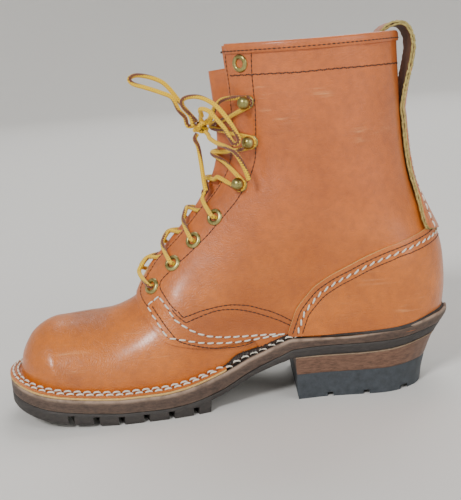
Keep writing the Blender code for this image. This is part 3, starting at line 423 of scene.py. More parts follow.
def grainGroup():
    inputs = [("Vector", vectorSocket, None), ("Scale", floatSocket, 900.0), ("Wrinkle", floatSocket, 0.4)]
    tree, given, result = newGroup("leatherGrain", inputs, [("Height", floatSocket), ("Pores", floatSocket)])
    where, scale = given.outputs["Vector"], given.outputs["Scale"]
    cells = wire(tree, "ShaderNodeTexVoronoi", {"Vector": where, "Scale": scale}, feature="SMOOTH_F1")
    folds = noise(tree, where, times(tree, scale, 0.18), 4.0, 0.6)
    pores = ramp(tree, cells.outputs["Distance"], 0.05, 0.55)
    raised = times(tree, folds, given.outputs["Wrinkle"])
    tree.links.new(plus(tree, raised, times(tree, pores, 0.5)), result.inputs["Height"])
    tree.links.new(pores, result.inputs["Pores"])


def cloudGroup():
    inputs = [("Vector", vectorSocket, None), ("Scale", floatSocket, 18.0), ("Low", floatSocket, 0.35),
              ("High", floatSocket, 0.65)]
    tree, given, result = newGroup("toneCloud", inputs, [("Mask", floatSocket)])
    fac = noise(tree, given.outputs["Vector"], given.outputs["Scale"], 5.0, 0.55)
    made = wire(tree, "ShaderNodeMapRange", {"Value": fac}, clamp=True)
    tree.links.new(given.outputs["Low"], made.inputs["From Min"])
    tree.links.new(given.outputs["High"], made.inputs["From Max"])
    tree.links.new(made.outputs["Result"], result.inputs["Mask"])


def scuffAndSheenGroup():
    # Fine pale scratches along one direction, kept to where Where is high; where Where marks a painted
    # highlight, the same streaks paint it
    inputs = [("Vector", vectorSocket, None), ("Where", floatSocket, 0.0), ("Scale", floatSocket, 60.0)]
    tree, given, result = newGroup("scuffsAndSheen", inputs, [("Mask", floatSocket)])
    turned = {"Vector": given.outputs["Vector"], "Scale": (0.22, 1.0, 3.4)}
    stretched = wire(tree, "ShaderNodeMapping", turned)
    streaks = noise(tree, stretched.outputs["Vector"], given.outputs["Scale"], 6.0, 0.65)
    rubAndSheen = times(tree, ramp(tree, streaks, 0.54, 0.70), given.outputs["Where"])
    tree.links.new(rubAndSheen, result.inputs["Mask"])


def fibreGroup():
    # Long fibres or lifts that run round a cut edge, across Z
    inputs = [("Vector", vectorSocket, None), ("Scale", floatSocket, 120.0), ("Stretch", floatSocket, 9.0)]
    tree, given, result = newGroup("edgeFibres", inputs, [("Mask", floatSocket), ("Height", floatSocket)])
    tall = wire(tree, "ShaderNodeCombineXYZ", {"X": 1.0, "Y": 1.0, "Z": given.outputs["Stretch"]})
    both = {0: given.outputs["Vector"], 1: tall.outputs[0]}
    squeezed = wire(tree, "ShaderNodeVectorMath", both, operation="MULTIPLY")
    fac = noise(tree, squeezed.outputs["Vector"], given.outputs["Scale"], 6.0, 0.7)
    tree.links.new(ramp(tree, fac, 0.3, 0.7), result.inputs["Mask"])
    tree.links.new(fac, result.inputs["Height"])


def braidGroup():
    # Crossing strands of a round braid, from a lace's own UV: x in pitches along it and y once round
    inputs = [("UV", vectorSocket, None), ("Strands", floatSocket, 4.0), ("Twist", floatSocket, 0.035),
              ("Band", floatSocket, 0.34)]
    outputs = [("Height", floatSocket), ("Band", floatSocket)]
    tree, given, result = newGroup("braid", inputs, outputs)
    parts = wire(tree, "ShaderNodeSeparateXYZ", {"Vector": given.outputs["UV"]})
    around = times(tree, parts.outputs["Y"], given.outputs["Strands"])
    waves = []
    for sign in ("ADD", "SUBTRACT"):
        turned = maths(tree, sign, parts.outputs["X"], around)
        waves.append(maths(tree, "ABSOLUTE", maths(tree, "SINE", times(tree, turned, math.pi))))
    height = maths(tree, "MAXIMUM", *waves)
    tree.links.new(height, result.inputs["Height"])
    slow = times(tree, parts.outputs["X"], given.outputs["Twist"])
    place = maths(tree, "FRACT", plus(tree, parts.outputs["Y"], slow))
    away = times(tree, maths(tree, "ABSOLUTE", maths(tree, "SUBTRACT", place, 0.5)), 2.0)
    teeth = times(tree, maths(tree, "SUBTRACT", waves[0], waves[1]), 0.16)
    inside = maths(tree, "LESS_THAN", plus(tree, away, teeth), given.outputs["Band"])
    tree.links.new(inside, result.inputs["Band"])


for build in (grainGroup, cloudGroup, scuffAndSheenGroup, fibreGroup, braidGroup):
    build()


def newMaterial(name):
    made = bpy.data.materials.new(name)
    made.use_nodes = True
    tree = made.node_tree
    return made, tree, tree.nodes["Principled BSDF"]


def objectVector(tree):
    return wire(tree, "ShaderNodeTexCoord").outputs["Object"]


def attribute(tree, name):
    return wire(tree, "ShaderNodeAttribute", attribute_name=name).outputs["Fac"]


# Soft patches between two levels of a noise
def patches(tree, where, scale, low, high):
    inputs = {"Vector": where, "Scale": scale, "Low": low, "High": high}
    return useGroup(tree, "toneCloud", inputs).outputs["Mask"]


def bumpInto(tree, shader, height, strength, distance):
    bump = wire(tree, "ShaderNodeBump", {"Height": height, "Strength": strength, "Distance": distance})
    tree.links.new(bump.outputs["Normal"], shader.inputs["Normal"])


# Linear colour from the 0-255 numbers that a screen shows
def rgb(r, g, b):
    return tuple((v / 255 / 12.92) if v <= 10 else ((v / 255 + 0.055) / 1.055) ** 2.4 for v in (r, g, b))


uppers = {
    "tan": rgb(206, 108, 44),
    "golden": rgb(212, 116, 24),
    # darker amber: random mottle, and painted shade where the attribute deep is high
    "amber": rgb(146, 68, 14),
    # pale tone: real scratches, and a painted highlight on the counter
    "rubAndSheen": rgb(232, 168, 108),
    # dark brown: random mottle, dirt low on the toe, and painted shade in wrinkles
    "soilAndShade": rgb(104, 58, 40),
    "rough": 0.36,
    "coat": 0.45,
    "coatRough": 0.20,
    "grainScale": 1100.0,
    "grainDepth": 0.00042,
}


def leatherMaterial(name, values):
    made, tree, shader = newMaterial(name)
    where = objectVector(tree)
    base = mixColour(tree, attribute(tree, "warm"), values["tan"], values["golden"])
    cloud = patches(tree, where, 34.0, 0.34, 0.66)
    base = mixColour(tree, times(tree, cloud, 0.34), base, values["amber"])
    fine = patches(tree, where, 210.0, 0.38, 0.70)
    base = mixColour(tree, times(tree, fine, 0.24), base, values["soilAndShade"])
    # painted shade: darker amber where the attribute deep is high, low on the upper and along folds
    base = mixColour(tree, attribute(tree, "deep"), base, values["amber"])
    # dirt low on the toe, and painted shade in the vamp's wrinkles and the crease by the facing
    base = mixColour(tree, attribute(tree, "soilAndShade"), base, values["soilAndShade"])
    # pale streaks: real scratches, and a painted highlight on the counter
    rubAndSheen = {"Vector": where, "Where": attribute(tree, "scuffAndSheen"), "Scale": 110.0}
    rubAndSheenMask = useGroup(tree, "scuffsAndSheen", rubAndSheen).outputs["Mask"]
    base = mixColour(tree, rubAndSheenMask, base, values["rubAndSheen"])
    tree.links.new(base, shader.inputs["Base Color"])
    grain = useGroup(tree, "leatherGrain", {"Vector": where, "Scale": values["grainScale"], "Wrinkle": 0.9})
    rough = plus(tree, times(tree, cloud, 0.10), values["rough"])
    rough = plus(tree, rough, times(tree, rubAndSheenMask, 0.25))
    tree.links.new(rough, shader.inputs["Roughness"])
    shader.inputs["Coat Weight"].default_value = values["coat"]
    shader.inputs["Coat Roughness"].default_value = values["coatRough"]
    bumpInto(tree, shader, grain.outputs["Height"], 0.75, values["grainDepth"])
    return made


# Two tones in fine fibres or specks, with their own relief
def plainMaterial(name, low, high, rough, scale, depthOf, stretch=1.0, metallic=0.0):
    made, tree, shader = newMaterial(name)
    fibres = useGroup(tree, "edgeFibres", {"Vector": objectVector(tree), "Scale": scale, "Stretch": stretch})
    tree.links.new(mixColour(tree, fibres.outputs["Mask"], low, high), shader.inputs["Base Color"])
    roughness = plus(tree, times(tree, fibres.outputs["Mask"], 0.12), rough - 0.06)
    tree.links.new(roughness, shader.inputs["Roughness"])
    shader.inputs["Metallic"].default_value = metallic
    bumpInto(tree, shader, fibres.outputs["Height"], 0.6, depthOf)
    return made


# A cut sole edge: brown fibres, pale where the edge attribute is high, and painted black shadow in the groove
# where it is below zero
def soleMaterial(name, low, high, wornTone, black):
    made, tree, shader = newMaterial(name)
    where = objectVector(tree)
    fibres = useGroup(tree, "edgeFibres", {"Vector": where, "Scale": 260.0, "Stretch": 2.5})
    base = mixColour(tree, fibres.outputs["Mask"], low, high)
    wearAndShade = times(tree, attribute(tree, "wearAndShade"), patches(tree, where, 120.0, 0.25, 0.55), clamp=True)
    base = mixColour(tree, wearAndShade, base, wornTone)
    # painted shadow: black where the edge attribute is below zero
    hidden = times(tree, attribute(tree, "wearAndShade"), -1.0, clamp=True)
    base = mixColour(tree, hidden, base, black)
    tree.links.new(base, shader.inputs["Base Color"])
    shader.inputs["Roughness"].default_value = 0.62
    bumpInto(tree, shader, fibres.outputs["Height"], 0.7, 0.0003)
    return made


def laceMaterial(name, low, high, fleck):
    made, tree, shader = newMaterial(name)
    uv = wire(tree, "ShaderNodeUVMap", uv_map="lace").outputs["UV"]
    braid = useGroup(tree, "braid", {"UV": uv, "Strands": 3.0, "Twist": 0.030, "Band": 0.26})
    tint = mixColour(tree, ramp(tree, braid.outputs["Height"], 0.2, 0.9), low, high)
    tree.links.new(mixColour(tree, braid.outputs["Band"], tint, fleck), shader.inputs["Base Color"])
    shader.inputs["Roughness"].default_value = 0.75
    shader.inputs["Sheen Weight"].default_value = 0.25
    bumpInto(tree, shader, braid.outputs["Height"], 0.9, 0.0005)
    return made


# Slot: name, darker and lighter tone, roughness, fibres per metre, relief, stretch along Z, metallic
plainFinishes = {
    "lining": ("liningLeather", (120, 78, 52), (160, 108, 74), 0.75, 220.0, 0.0002),
    "rawEdge": ("cutLeatherEdge", (190, 144, 78), (236, 204, 134), 0.85, 500.0, 0.0002, 4.0),
    "strapEdge": ("fibrousStrapEdge", (128, 112, 62), (206, 188, 116), 0.9, 500.0, 0.0004),
    "strapInside": ("strapInside", (92, 60, 40), (132, 90, 60), 0.8, 300.0, 0.0002),
    # near-black: the waist welt, and the painted shadow strip at the heel's foot
    "welt": ("blackWeltAndJoinShade", (14, 12, 12), (58, 48, 42), 0.5, 420.0, 0.0006),
    "stack": ("stackedLeather", (72, 48, 36), (128, 94, 74), 0.5, 210.0, 0.0003, 4.0),
    "rubber": ("wornRubber", (42, 47, 52), (66, 72, 78), 0.62, 240.0, 0.0002),
    "paleLine": ("paleEdgeLine", (120, 98, 78), (172, 148, 122), 0.8, 300.0, 0.0002, 3.0),
    # painted shadow: dark strips along the stitch rows
    "channel": ("stitchShade", (96, 46, 18), (120, 60, 26), 0.7, 300.0, 0.0001),
    "whiteThread": ("whiteWaxedThread", (206, 198, 180), (244, 240, 228), 0.55, 900.0, 0.0001),
    "darkThread": ("darkThread", (38, 24, 18), (72, 48, 36), 0.6, 900.0, 0.0001),
    "brass": ("antiqueBrass", (120, 112, 62), (196, 186, 124), 0.32, 180.0, 0.00005, 1.0, 1.0),
    # painted shade: dark discs in the eyelets' openings
    "holeShade": ("eyeletShade", (18, 12, 8), (30, 20, 14), 0.9, 200.0, 0.0001),
}
# Slot: name, darker and lighter fibre tone, tone pale with use, and black for the painted groove shadow
soleFinishes = {
    "midsole": ("burnishedMidsole", (50, 38, 32), (98, 78, 66), (158, 134, 116), (22, 16, 14)),
    "outsole": ("blackenedOutsole", (38, 35, 34), (62, 57, 54), (88, 82, 76), (22, 18, 16)),
}
finish = {
    "upper": leatherMaterial("waxedOrangeLeather", uppers),
    "lace": laceMaterial("yellowBraid", rgb(172, 110, 0), rgb(250, 203, 0), rgb(112, 60, 42)),
}
for slot, (name, low, high, *rest) in plainFinishes.items():
    finish[slot] = plainMaterial(name, rgb(*low), rgb(*high), *rest)
for slot, (name, *colours) in soleFinishes.items():
    finish[slot] = soleMaterial(name, *(rgb(*colour) for colour in colours))
print("materials ready")


def addPiece(name, points, faces, materials, replaced=(), smooth=True, body="root"):
    mesh = bpy.data.meshes.new(name)
    mesh.from_pydata([tuple(map(float, p)) for p in points], [], [tuple(map(int, f)) for f in faces])
    mesh.update()
    for key in materials:
        mesh.materials.append(finish[key])
    if smooth:
        mesh.shade_smooth()
    obj = bpy.data.objects.new(name, mesh)
    bpy.context.scene.collection.objects.link(obj)
    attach(obj, body)
    if replaced:
        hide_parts(*replaced)
    return obj


# A number for each point of a piece, which its material reads by name
def paint(obj, name, values):
    layer = obj.data.attributes.new(name, "FLOAT", "POINT")
    layer.data.foreach_set("value", values.astype(np.float32))


def thicken(obj, thickness, offset=-1):
    solid = obj.modifiers.new("thickness", "SOLIDIFY")
    solid.thickness, solid.offset = thickness, offset
    solid.material_offset, solid.material_offset_rim = 1, 2


def soften(obj, width, degrees):
    soft = obj.modifiers.new("softEdge", "BEVEL")
    soft.width, soft.segments, soft.limit_method = width, 2, "ANGLE"
    soft.angle_limit = math.radians(degrees)


# Fills what is left open and turns all faces outward
def closeHoles(obj):
    bm = bmesh.new()
    bm.from_mesh(obj.data)
    bmesh.ops.holes_fill(bm, edges=[e for e in bm.edges if e.is_boundary], sides=0)
    bmesh.ops.recalc_face_normals(bm, faces=bm.faces)
    bm.to_mesh(obj.data)
    bm.free()


def gridFaces(rows, columns, start=0, closed=False):
    i, j = np.meshgrid(np.arange(rows - 1), np.arange(columns if closed else columns - 1), indexing="ij")
    here, there, nextJ = i * columns, (i + 1) * columns, (j + 1) % columns
    return np.stack([here + j, there + j, there + nextJ, here + nextJ], -1).reshape(-1, 4) + start


# A closed piece from a grid whose columns run round it
def addRing(name, grid, material, replaced=(), angle=50):
    faces = gridFaces(*grid.shape[:2], closed=True)
    obj = addPiece(name, grid.reshape(-1, 3), faces, [material], replaced)
    closeHoles(obj)
    smoothByAngle(obj, angle)
    return obj


def smoothByAngle(obj, degrees):
    obj.data.set_sharp_from_angle(angle=math.radians(degrees))


# Joins points that meet and drops faces that shrink to a line; also gives each point's first index
def weld(points, faces, within=0.00002):
    key = np.round(points / within).astype(np.int64)
    _, first, index = np.unique(key, axis=0, return_index=True, return_inverse=True)
    faces = index.reshape(-1)[faces]
    kept = []
    for face in faces:
        slim = [int(v) for k, v in enumerate(face) if v != face[k - 1]]
        if len(set(slim)) > 2:
            kept.append(slim)
    return points[first], kept, first


def vertexNormals(points, faces):
    normals = np.zeros_like(points)
    for face in faces:
        corner = points[face]
        n = np.cross(corner[1] - corner[0], corner[2] - corner[0])
        if len(face) == 4:
            n = n + np.cross(corner[2] - corner[0], corner[3] - corner[0])
        normals[face] += n
    return unit(normals)


# Folds and marks placed one by one: photo pixels, width and depth in metres
folds = {
    "lines": [
        (((190, 258), (215, 252), (245, 243), (275, 232)), 0.0060, 0.00035),
        (((200, 276), (235, 268), (275, 262), (318, 256)), 0.0080, 0.00035),
        (((262, 172), (268, 186), (270, 200)), 0.0022, 0.00030),
        (((255, 176), (259, 186), (260, 196)), 0.0016, 0.00022),
        (((225, 208), (240, 203), (252, 196)), 0.0026, 0.00022),
        (((270, 150), (300, 172), (330, 205), (352, 236)), 0.0120, 0.00060),
        (((330, 200), (352, 214), (385, 226)), 0.0070, 0.00040),
        (((96, 302), (104, 312), (110, 326), (112, 340)), 0.0045, 0.00028),
        (((112, 303), (120, 316), (127, 330)), 0.0038, 0.00025),
        (((345, 330), (380, 322), (420, 305)), 0.0100, 0.00030),
    ],
    "swell": 0.00035,
    "swellSize": 28.0,
}
foldPaths = [(onBoot(line, 0.0), width, deep) for line, width, deep in folds["lines"]]


# Distance from each place to a side-view line, and how far along the line the nearest point is
def nearness(x, z, path):
    spot = np.stack([x, z], -1).reshape(-1, 1, 2)
    start, run = path[:-1], np.diff(path, axis=0)
    t = np.clip(((spot - start) * run).sum(2) / np.maximum((run**2).sum(1), 1e-12), 0, 1)
    length = np.linalg.norm(spot - start - run * t[..., None], axis=2)
    i = length.argmin(1)
    row = np.arange(len(spot))
    return length[row, i].reshape(x.shape), ((i + t[row, i]) / len(run)).reshape(x.shape)


# How far the leather stands out from the last's smooth form
def relief(x, z, side):
    x, z = np.asarray(x, float), np.asarray(z, float)
    lift = np.zeros(x.shape)
    for path, width, deep in foldPaths:
        away, along = nearness(x, z, path)
        taper = np.sin(math.pi * np.clip(along, 0.02, 0.98)) ** 0.6
        here = np.exp(-((away / width) ** 2)) - 0.45 * np.exp(-(((away - 2.1 * width) / width) ** 2))
        lift -= deep * taper * here * np.where(np.asarray(side) > 0, 1.0, 0.8)
    k = folds["swellSize"]
    swell = np.sin(k * 4.1 * x + 1.3 + 0.6 * np.asarray(side)) * np.sin(k * 3.3 * z + k * 1.7 * x)
    return lift + folds["swell"] * swell * ease((z - soleTop(x) - 0.006) / 0.02)


tones = {
    # deep: painted shade, darker amber low on the upper, near the sole and along folds
    "deep": [  # darker amber: photo pixels, reach in metres, strength
        (((200, 325), (250, 322), (285, 326)), 0.014, 0.62),
        (((245, 300), (285, 292)), 0.016, 0.42),
        (((310, 258), (330, 262), (300, 285)), 0.012, 0.30),
        (((40, 372), (100, 388), (160, 388)), 0.012, 0.22),
        (((345, 330), (400, 322)), 0.012, 0.25),
    ],
    # dirt low on the toe, and painted shade in the vamp's wrinkles and the crease by the facing
    "soilAndShade": [
        (((80, 314), (92, 317), (100, 320)), 0.007, 0.38),
        (((215, 208), (225, 200)), 0.008, 0.22),
        (((60, 372), (75, 380)), 0.004, 0.2),
    ],
    "scuffAndSheen": [
        (((140, 345), (160, 346)), 0.008, 0.8),
        (((65, 360), (80, 365)), 0.007, 0.6),
        (((72, 374), (80, 377)), 0.005, 0.7),
        (((345, 308), (355, 307)), 0.004, 0.9),
        (((402, 305), (413, 301)), 0.004, 0.8),
        (((262, 92), (278, 115)), 0.007, 0.55),
        (((318, 92), (325, 94)), 0.004, 0.6),
        (((360, 134), (382, 123)), 0.005, 0.55),
        # painted highlight: a broad pale patch where the counter shines
        (((355, 285), (375, 278)), 0.010, 0.35),
    ],
}
tonePaths = {
    kind: [(onBoot(line, 0.0, 3), reach, much) for line, reach, much in rows]
    for kind, rows in tones.items()
}


# Per-point numbers that the leather material reads
def paintTones(obj, places):
    x, z = places[:, 0], places[:, 2]
    found = {}
    for kind, rows in tonePaths.items():
        value = np.zeros(x.shape)
        for path, reach, much in rows:
            away, _ = nearness(x, z, path)
            value = np.maximum(value, much * np.exp(-((away / reach) ** 2)))
        found[kind] = value
    up = (z - soleTop(x)) / bootSizes["shaftRise"]
    found["warm"] = 0.85 * (1 - ease((up - 0.12) / 0.45)) + 0.15 * ease((share(x) - 0.6) / 0.2)
    for kind, value in found.items():
        paint(obj, kind, np.clip(value, 0, 1))


# Side-view points spaced evenly along lines that follow one another on the form
def edgeRun(lines, counts):
    runs = []
    for line, count in zip(lines, counts):
        run = runLength(skin(line[:, 0], line[:, 1], 1))
        runs.append(readAt(np.linspace(0, run[-1], count + 1), run, line)[1 if runs else 0 :])
    return np.vstack(runs)


# Side-view places of a panel of one side: columns run from its bottom lines to its top lines
def patch(bottoms, tops, left, right, counts, rows, nearLeft, nearRight):
    bottom, top = edgeRun(bottoms, counts), edgeRun(tops, counts)
    fine = np.linspace(0, 1, 70)
    left, right = evenSteps(left, len(fine) - 1), evenSteps(right, len(fine) - 1)
    s = np.linspace(0, 1, len(bottom))[:, None, None]
    t = fine[None, :, None]
    straight = bottom[:, None] * (1 - t) + top[:, None] * t
    pullLeft, pullRight = ease(1 - s / nearLeft), ease((s - nearRight) / (1 - nearRight))
    flat = straight + pullLeft * (left - straight[0]) + pullRight * (right - straight[-1])
    return np.stack([edgeRun([column], [rows]) for column in flat])


# A leather panel over both sides of the form, joined along its seams
def formPanel(name, flat, off, thickness, replaced, seams, inside="lining"):
    rows, columns = flat.shape[:2]
    x, z = flat[..., 0].ravel(), flat[..., 1].ravel()
    onSeam = np.zeros((rows, columns), bool)
    for seam in seams:
        onSeam[seam] = True
    points, faces = [], []
    for k, side in enumerate((1, -1)):
        spot = skin(x, z, side)
        spot[:, 1] = np.where(onSeam.ravel(), centreLine(x), spot[:, 1])
        points.append(spot)
        faces.append(gridFaces(rows, columns, k * len(x))[:, ::side])
    points, faces, _ = weld(np.concatenate(points), np.concatenate(faces))
    normals = vertexNormals(points, faces)
    fromMiddle = points[:, 1] - centreLine(points[:, 0])
    if (normals[:, 1] * np.sign(fromMiddle)).sum() < 0:
        faces = [face[::-1] for face in faces]
        normals = -normals
    lift = off + relief(points[:, 0], points[:, 2], np.where(fromMiddle >= 0, 1, -1))
    slots = ["upper", inside, "rawEdge"]
    obj = addPiece(name, points + normals * lift[:, None], faces, slots, replaced)
    paintTones(obj, points)
    thicken(obj, thickness)
    soften(obj, 0.0004, 60)


panelSizes = {"hem": 0.0005, "quarter": 0.0016, "counter": 0.0020, "counterOff": 0.0021, "tuck": 0.009}


def soleEdge(first, last, clear):
    x = np.linspace(first, last, 90)
    return np.stack([x, soleTop(x) + clear], -1)


def collarEdge():
    rear, fore = backPath[-1, 0], frontPath[-1, 0]
    steps = np.linspace(collarIndex, footIndex, 120)
    facing = frontSpot(steps, throatHalf(steps))
    start = float(backX(collarTop))
    x = start + (facing[0, 0] - start) * (1 - np.cos(math.pi / 2 * np.linspace(0, 1, 120)))
    dip = 0.0015 * np.sin(math.pi * np.clip((x - rear) / (fore - rear), 0, 1))
    collar = np.stack([x, collarTop - dip], -1)
    facing[0] = collar[-1]
    return collar, facing


collarLine, facingLine = collarEdge()
quarterEdge = table(
    "along up",
    (0.699, 0.158), (0.693, 0.140), (0.684, 0.120), (0.670, 0.090), (0.655, 0.056), (0.630, 0.024),
    (0.586, 0.005), (0.542, -0.006), (0.510, -0.005), (0.477, 0.001), (0.448, 0.008),
)
counterEdge = table(
    "ahead up",
    (0.000, 0.338), (0.030, 0.326), (0.058, 0.316), (0.100, 0.301), (0.140, 0.286), (0.179, 0.265),
    (0.216, 0.240), (0.252, 0.214), (0.289, 0.178), (0.311, 0.143), (0.331, 0.102), (0.3385, 0.066),
    (0.3425, 0.018),
)


def backEdge(top, clear):
    z = np.linspace(bootSizes["seat"] + clear, top, 90)
    return np.stack([backX(z), z], -1)


# The quarter's front edge from the throat's foot down, then its lower edge back to the waist
def quarterLine():
    x = place(quarterEdge["along"])
    line = smoothLine(np.stack([x, bootSizes["seat"] + quarterEdge["up"] * bootSizes["shaftRise"]], 1), 12)
    line[0] = facingLine[-1]
    return line


quarterCut = quarterLine()
cornerAt = int(np.argmin(np.abs(quarterCut[:, 0] - place(0.655))))


def makeQuarters():
    lower, front = quarterCut[cornerAt:][::-1], quarterCut[: cornerAt + 1][::-1]
    hem, middle = panelSizes["hem"], float(place(0.31))
    heel = soleEdge(backEdge(collarTop, hem)[0, 0], middle, hem)
    waist = soleEdge(middle, lower[0, 0] - 0.004, hem)
    bottoms = [heel, np.vstack([waist, lower])]
    tops, back = [collarLine, facingLine], backEdge(collarTop, panelSizes["hem"])
    flat = patch(bottoms, tops, back, front, (64, 96), 92, 0.6, 0.72)
    formPanel("quarters", flat, bootSizes["panel"], panelSizes["quarter"], ("quarters",), [np.s_[0, :]])
    formPanel("shaftLining", flat, -0.0001, bootSizes["wall"] - 0.0002, ("upper",), [np.s_[0, :]])


# Vamp and toe in one piece; its back edge is tucked under the quarters
def makeVamp():
    lift = panelSizes["tuck"] * ease(runLength(quarterCut) / 0.03)
    lean = unit(np.gradient(quarterCut, axis=0))
    hidden = quarterCut + np.stack([-np.abs(lean[:, 1]), np.abs(lean[:, 0])], -1) * lift[:, None]
    hidden[-1, 0] -= 0.004
    hem, rear = panelSizes["hem"], hidden[-1, 0] - 0.004
    left = np.vstack([[(rear, float(soleTop(rear)) + hem)], hidden[::-1]])
    tip = int(np.argmax(frontPath[:, 1] > float(soleTop(place(0.974))) + hem))
    base = float(place(lastLines["front"]["along"][1]))
    x = left[0, 0] + (base - left[0, 0]) * np.sin(math.pi / 2 * np.linspace(0, 1, 140))
    bottom = np.stack([x, soleTop(x) + hem], -1)
    right = np.vstack([bottom[-1:], frontPath[tip : toeIndex + 1, :2]])
    across = np.cos(math.pi / 2 * np.linspace(0, 1, 30))
    turn = frontSpot(footIndex + 0 * across, throatHalf(footIndex) * across)
    ridge = np.vstack([turn, frontPath[toeIndex : footIndex, :2][::-1]])
    flat = patch([bottom], [ridge], left, right, (110,), 84, 0.8, 0.35)
    formPanel("vamp", flat, 0.0, bootSizes["wall"], ("upper",), [np.s_[-1, :], np.s_[14:, -1]])


def makeCounter():
    ahead = counterEdge["ahead"] * bootSizes["length"]
    z = bootSizes["seat"] + bootSizes["shaftRise"] * counterEdge["up"]
    edge = smoothLine(np.stack([backX(z) + ahead, z], 1), 8)
    bottom = soleEdge(backEdge(collarTop, 0.0006)[0, 0], edge[-1, 0], 0.0006)
    left = backEdge(edge[0, 1], 0.0006)
    right = np.array([bottom[-1], edge[-1]])
    flat = patch([bottom], [edge], left, right, (70,), 40, 0.9, 0.85)
    off = bootSizes["panel"] + panelSizes["counterOff"]
    formPanel("counterCover", flat, off, panelSizes["counter"], ("counter_cover",), [np.s_[0, :]], "rawEdge")
    return edge


makeQuarters()
makeVamp()
counterLine = makeCounter()
print("leather panels ready")


threads = {
    "white": {"material": "whiteThread", "half": 0.0025, "radius": 0.00060, "pitch": 0.0062, "slant": 0.10},
    "slanted": {"material": "whiteThread", "half": 0.0024, "radius": 0.00062, "pitch": 0.0058, "slant": 0.34},
    "welt": {"material": "whiteThread", "half": 0.0027, "radius": 0.00068, "pitch": 0.0065, "slant": 0.06},
    "dark": {"material": "darkThread", "half": 0.00115, "radius": 0.00036, "pitch": 0.0031, "slant": 0.0},
    "fine": {"material": "darkThread", "half": 0.00100, "radius": 0.00030, "pitch": 0.0028, "slant": 0.0},
    "zigzag": {"material": "darkThread", "half": 0.00125, "radius": 0.00032, "pitch": 0.0026, "slant": 0.55},
    "channel": 0.00034,
    "look": 0.0008,  # how far ahead and behind a stitch takes its direction
}
stitchParts = {"whiteThread": [], "darkThread": [], "channels": []}


# One stitch along X, its ends dipping into the leather
def stitchForm(sides=6):
    ahead = np.array([-1.0, -0.88, -0.5, 0.0, 0.5, 0.88, 1.0])
    size = np.array([0.30, 0.80, 1.00, 1.00, 1.00, 0.80, 0.30])
    high = np.array([-1.5, -0.35, 0.40, 0.55, 0.40, -0.35, -1.5])
    turn = np.arange(sides) / sides * 2 * math.pi
    wide, tall = size[:, None] * np.cos(turn), high[:, None] + size[:, None] * np.sin(turn)
    ring = np.stack([ahead[:, None] + 0 * turn, wide, tall], -1)
    return ring.reshape(-1, 3), gridFaces(len(ahead), sides, closed=True)


unitStitch, unitFaces = stitchForm()


# Stitches set evenly along a line in space
def sewRow(points, normals, kind, mirrored=False):
    values = threads[kind]
    run = runLength(points)
    count = max(1, int(round(run[-1] / values["pitch"])))
    at = (np.arange(count) + 0.5) / count * run[-1]
    spot, out = readAt(at, run, points), unit(readAt(at, run, normals))
    ahead = readAt(at + threads["look"], run, points) - readAt(at - threads["look"], run, points)
    across = unit(np.cross(out, ahead))
    ahead = np.cross(across, out)
    sign = np.full(count, -1.0 if mirrored else 1.0)
    if kind == "zigzag":
        sign *= np.where(np.arange(count) % 2, 1, -1)
    lean = (values["slant"] * sign)[:, None]
    length = np.sqrt(1 + lean**2)
    ahead, across = (ahead + lean * across) / length, (across - lean * ahead) / length
    form, half, r = unitStitch[None], values["half"], values["radius"]
    points3 = spot[:, None] + ahead[:, None] * form[..., :1] * half + across[:, None] * form[..., 1:2] * r
    points3 = points3 + out[:, None] * form[..., 2:] * r
    faces = unitFaces[None] + (np.arange(count) * len(unitStitch))[:, None, None]
    stitchParts[values["material"]].append((points3.reshape(-1, 3), faces.reshape(-1, 4)))
    # A dark strip along the row, under its stitches: painted shadow of the stitch groove
    r = threads["channel"]
    sideways = unit(np.cross(normals, np.gradient(points, axis=0)))
    strip = np.stack([points - sideways * r, points + normals * r * 0.28, points + sideways * r], 1)
    stitchParts["channels"].append((strip.reshape(-1, 3), gridFaces(len(points), 3)))


# Places and normals on a panel's outer face, with its relief
def onFace(x, z, side, off):
    normals = outward(x, z, side)
    return skin(x, z, side) + normals * (off + relief(x, z, side))[:, None], normals


def sewOnForm(pixels, off, kind, sides=(1, -1), smooth=True):
    line = onBoot(pixels, off, 10 if smooth else 1)
    fine = evenSteps(line, max(8, int(runLength(line)[-1] / 0.0015)))
    for side in sides:
        points, normals = onFace(fine[:, 0], fine[:, 1], side, off)
        sewRow(points, normals, kind, side < 0)


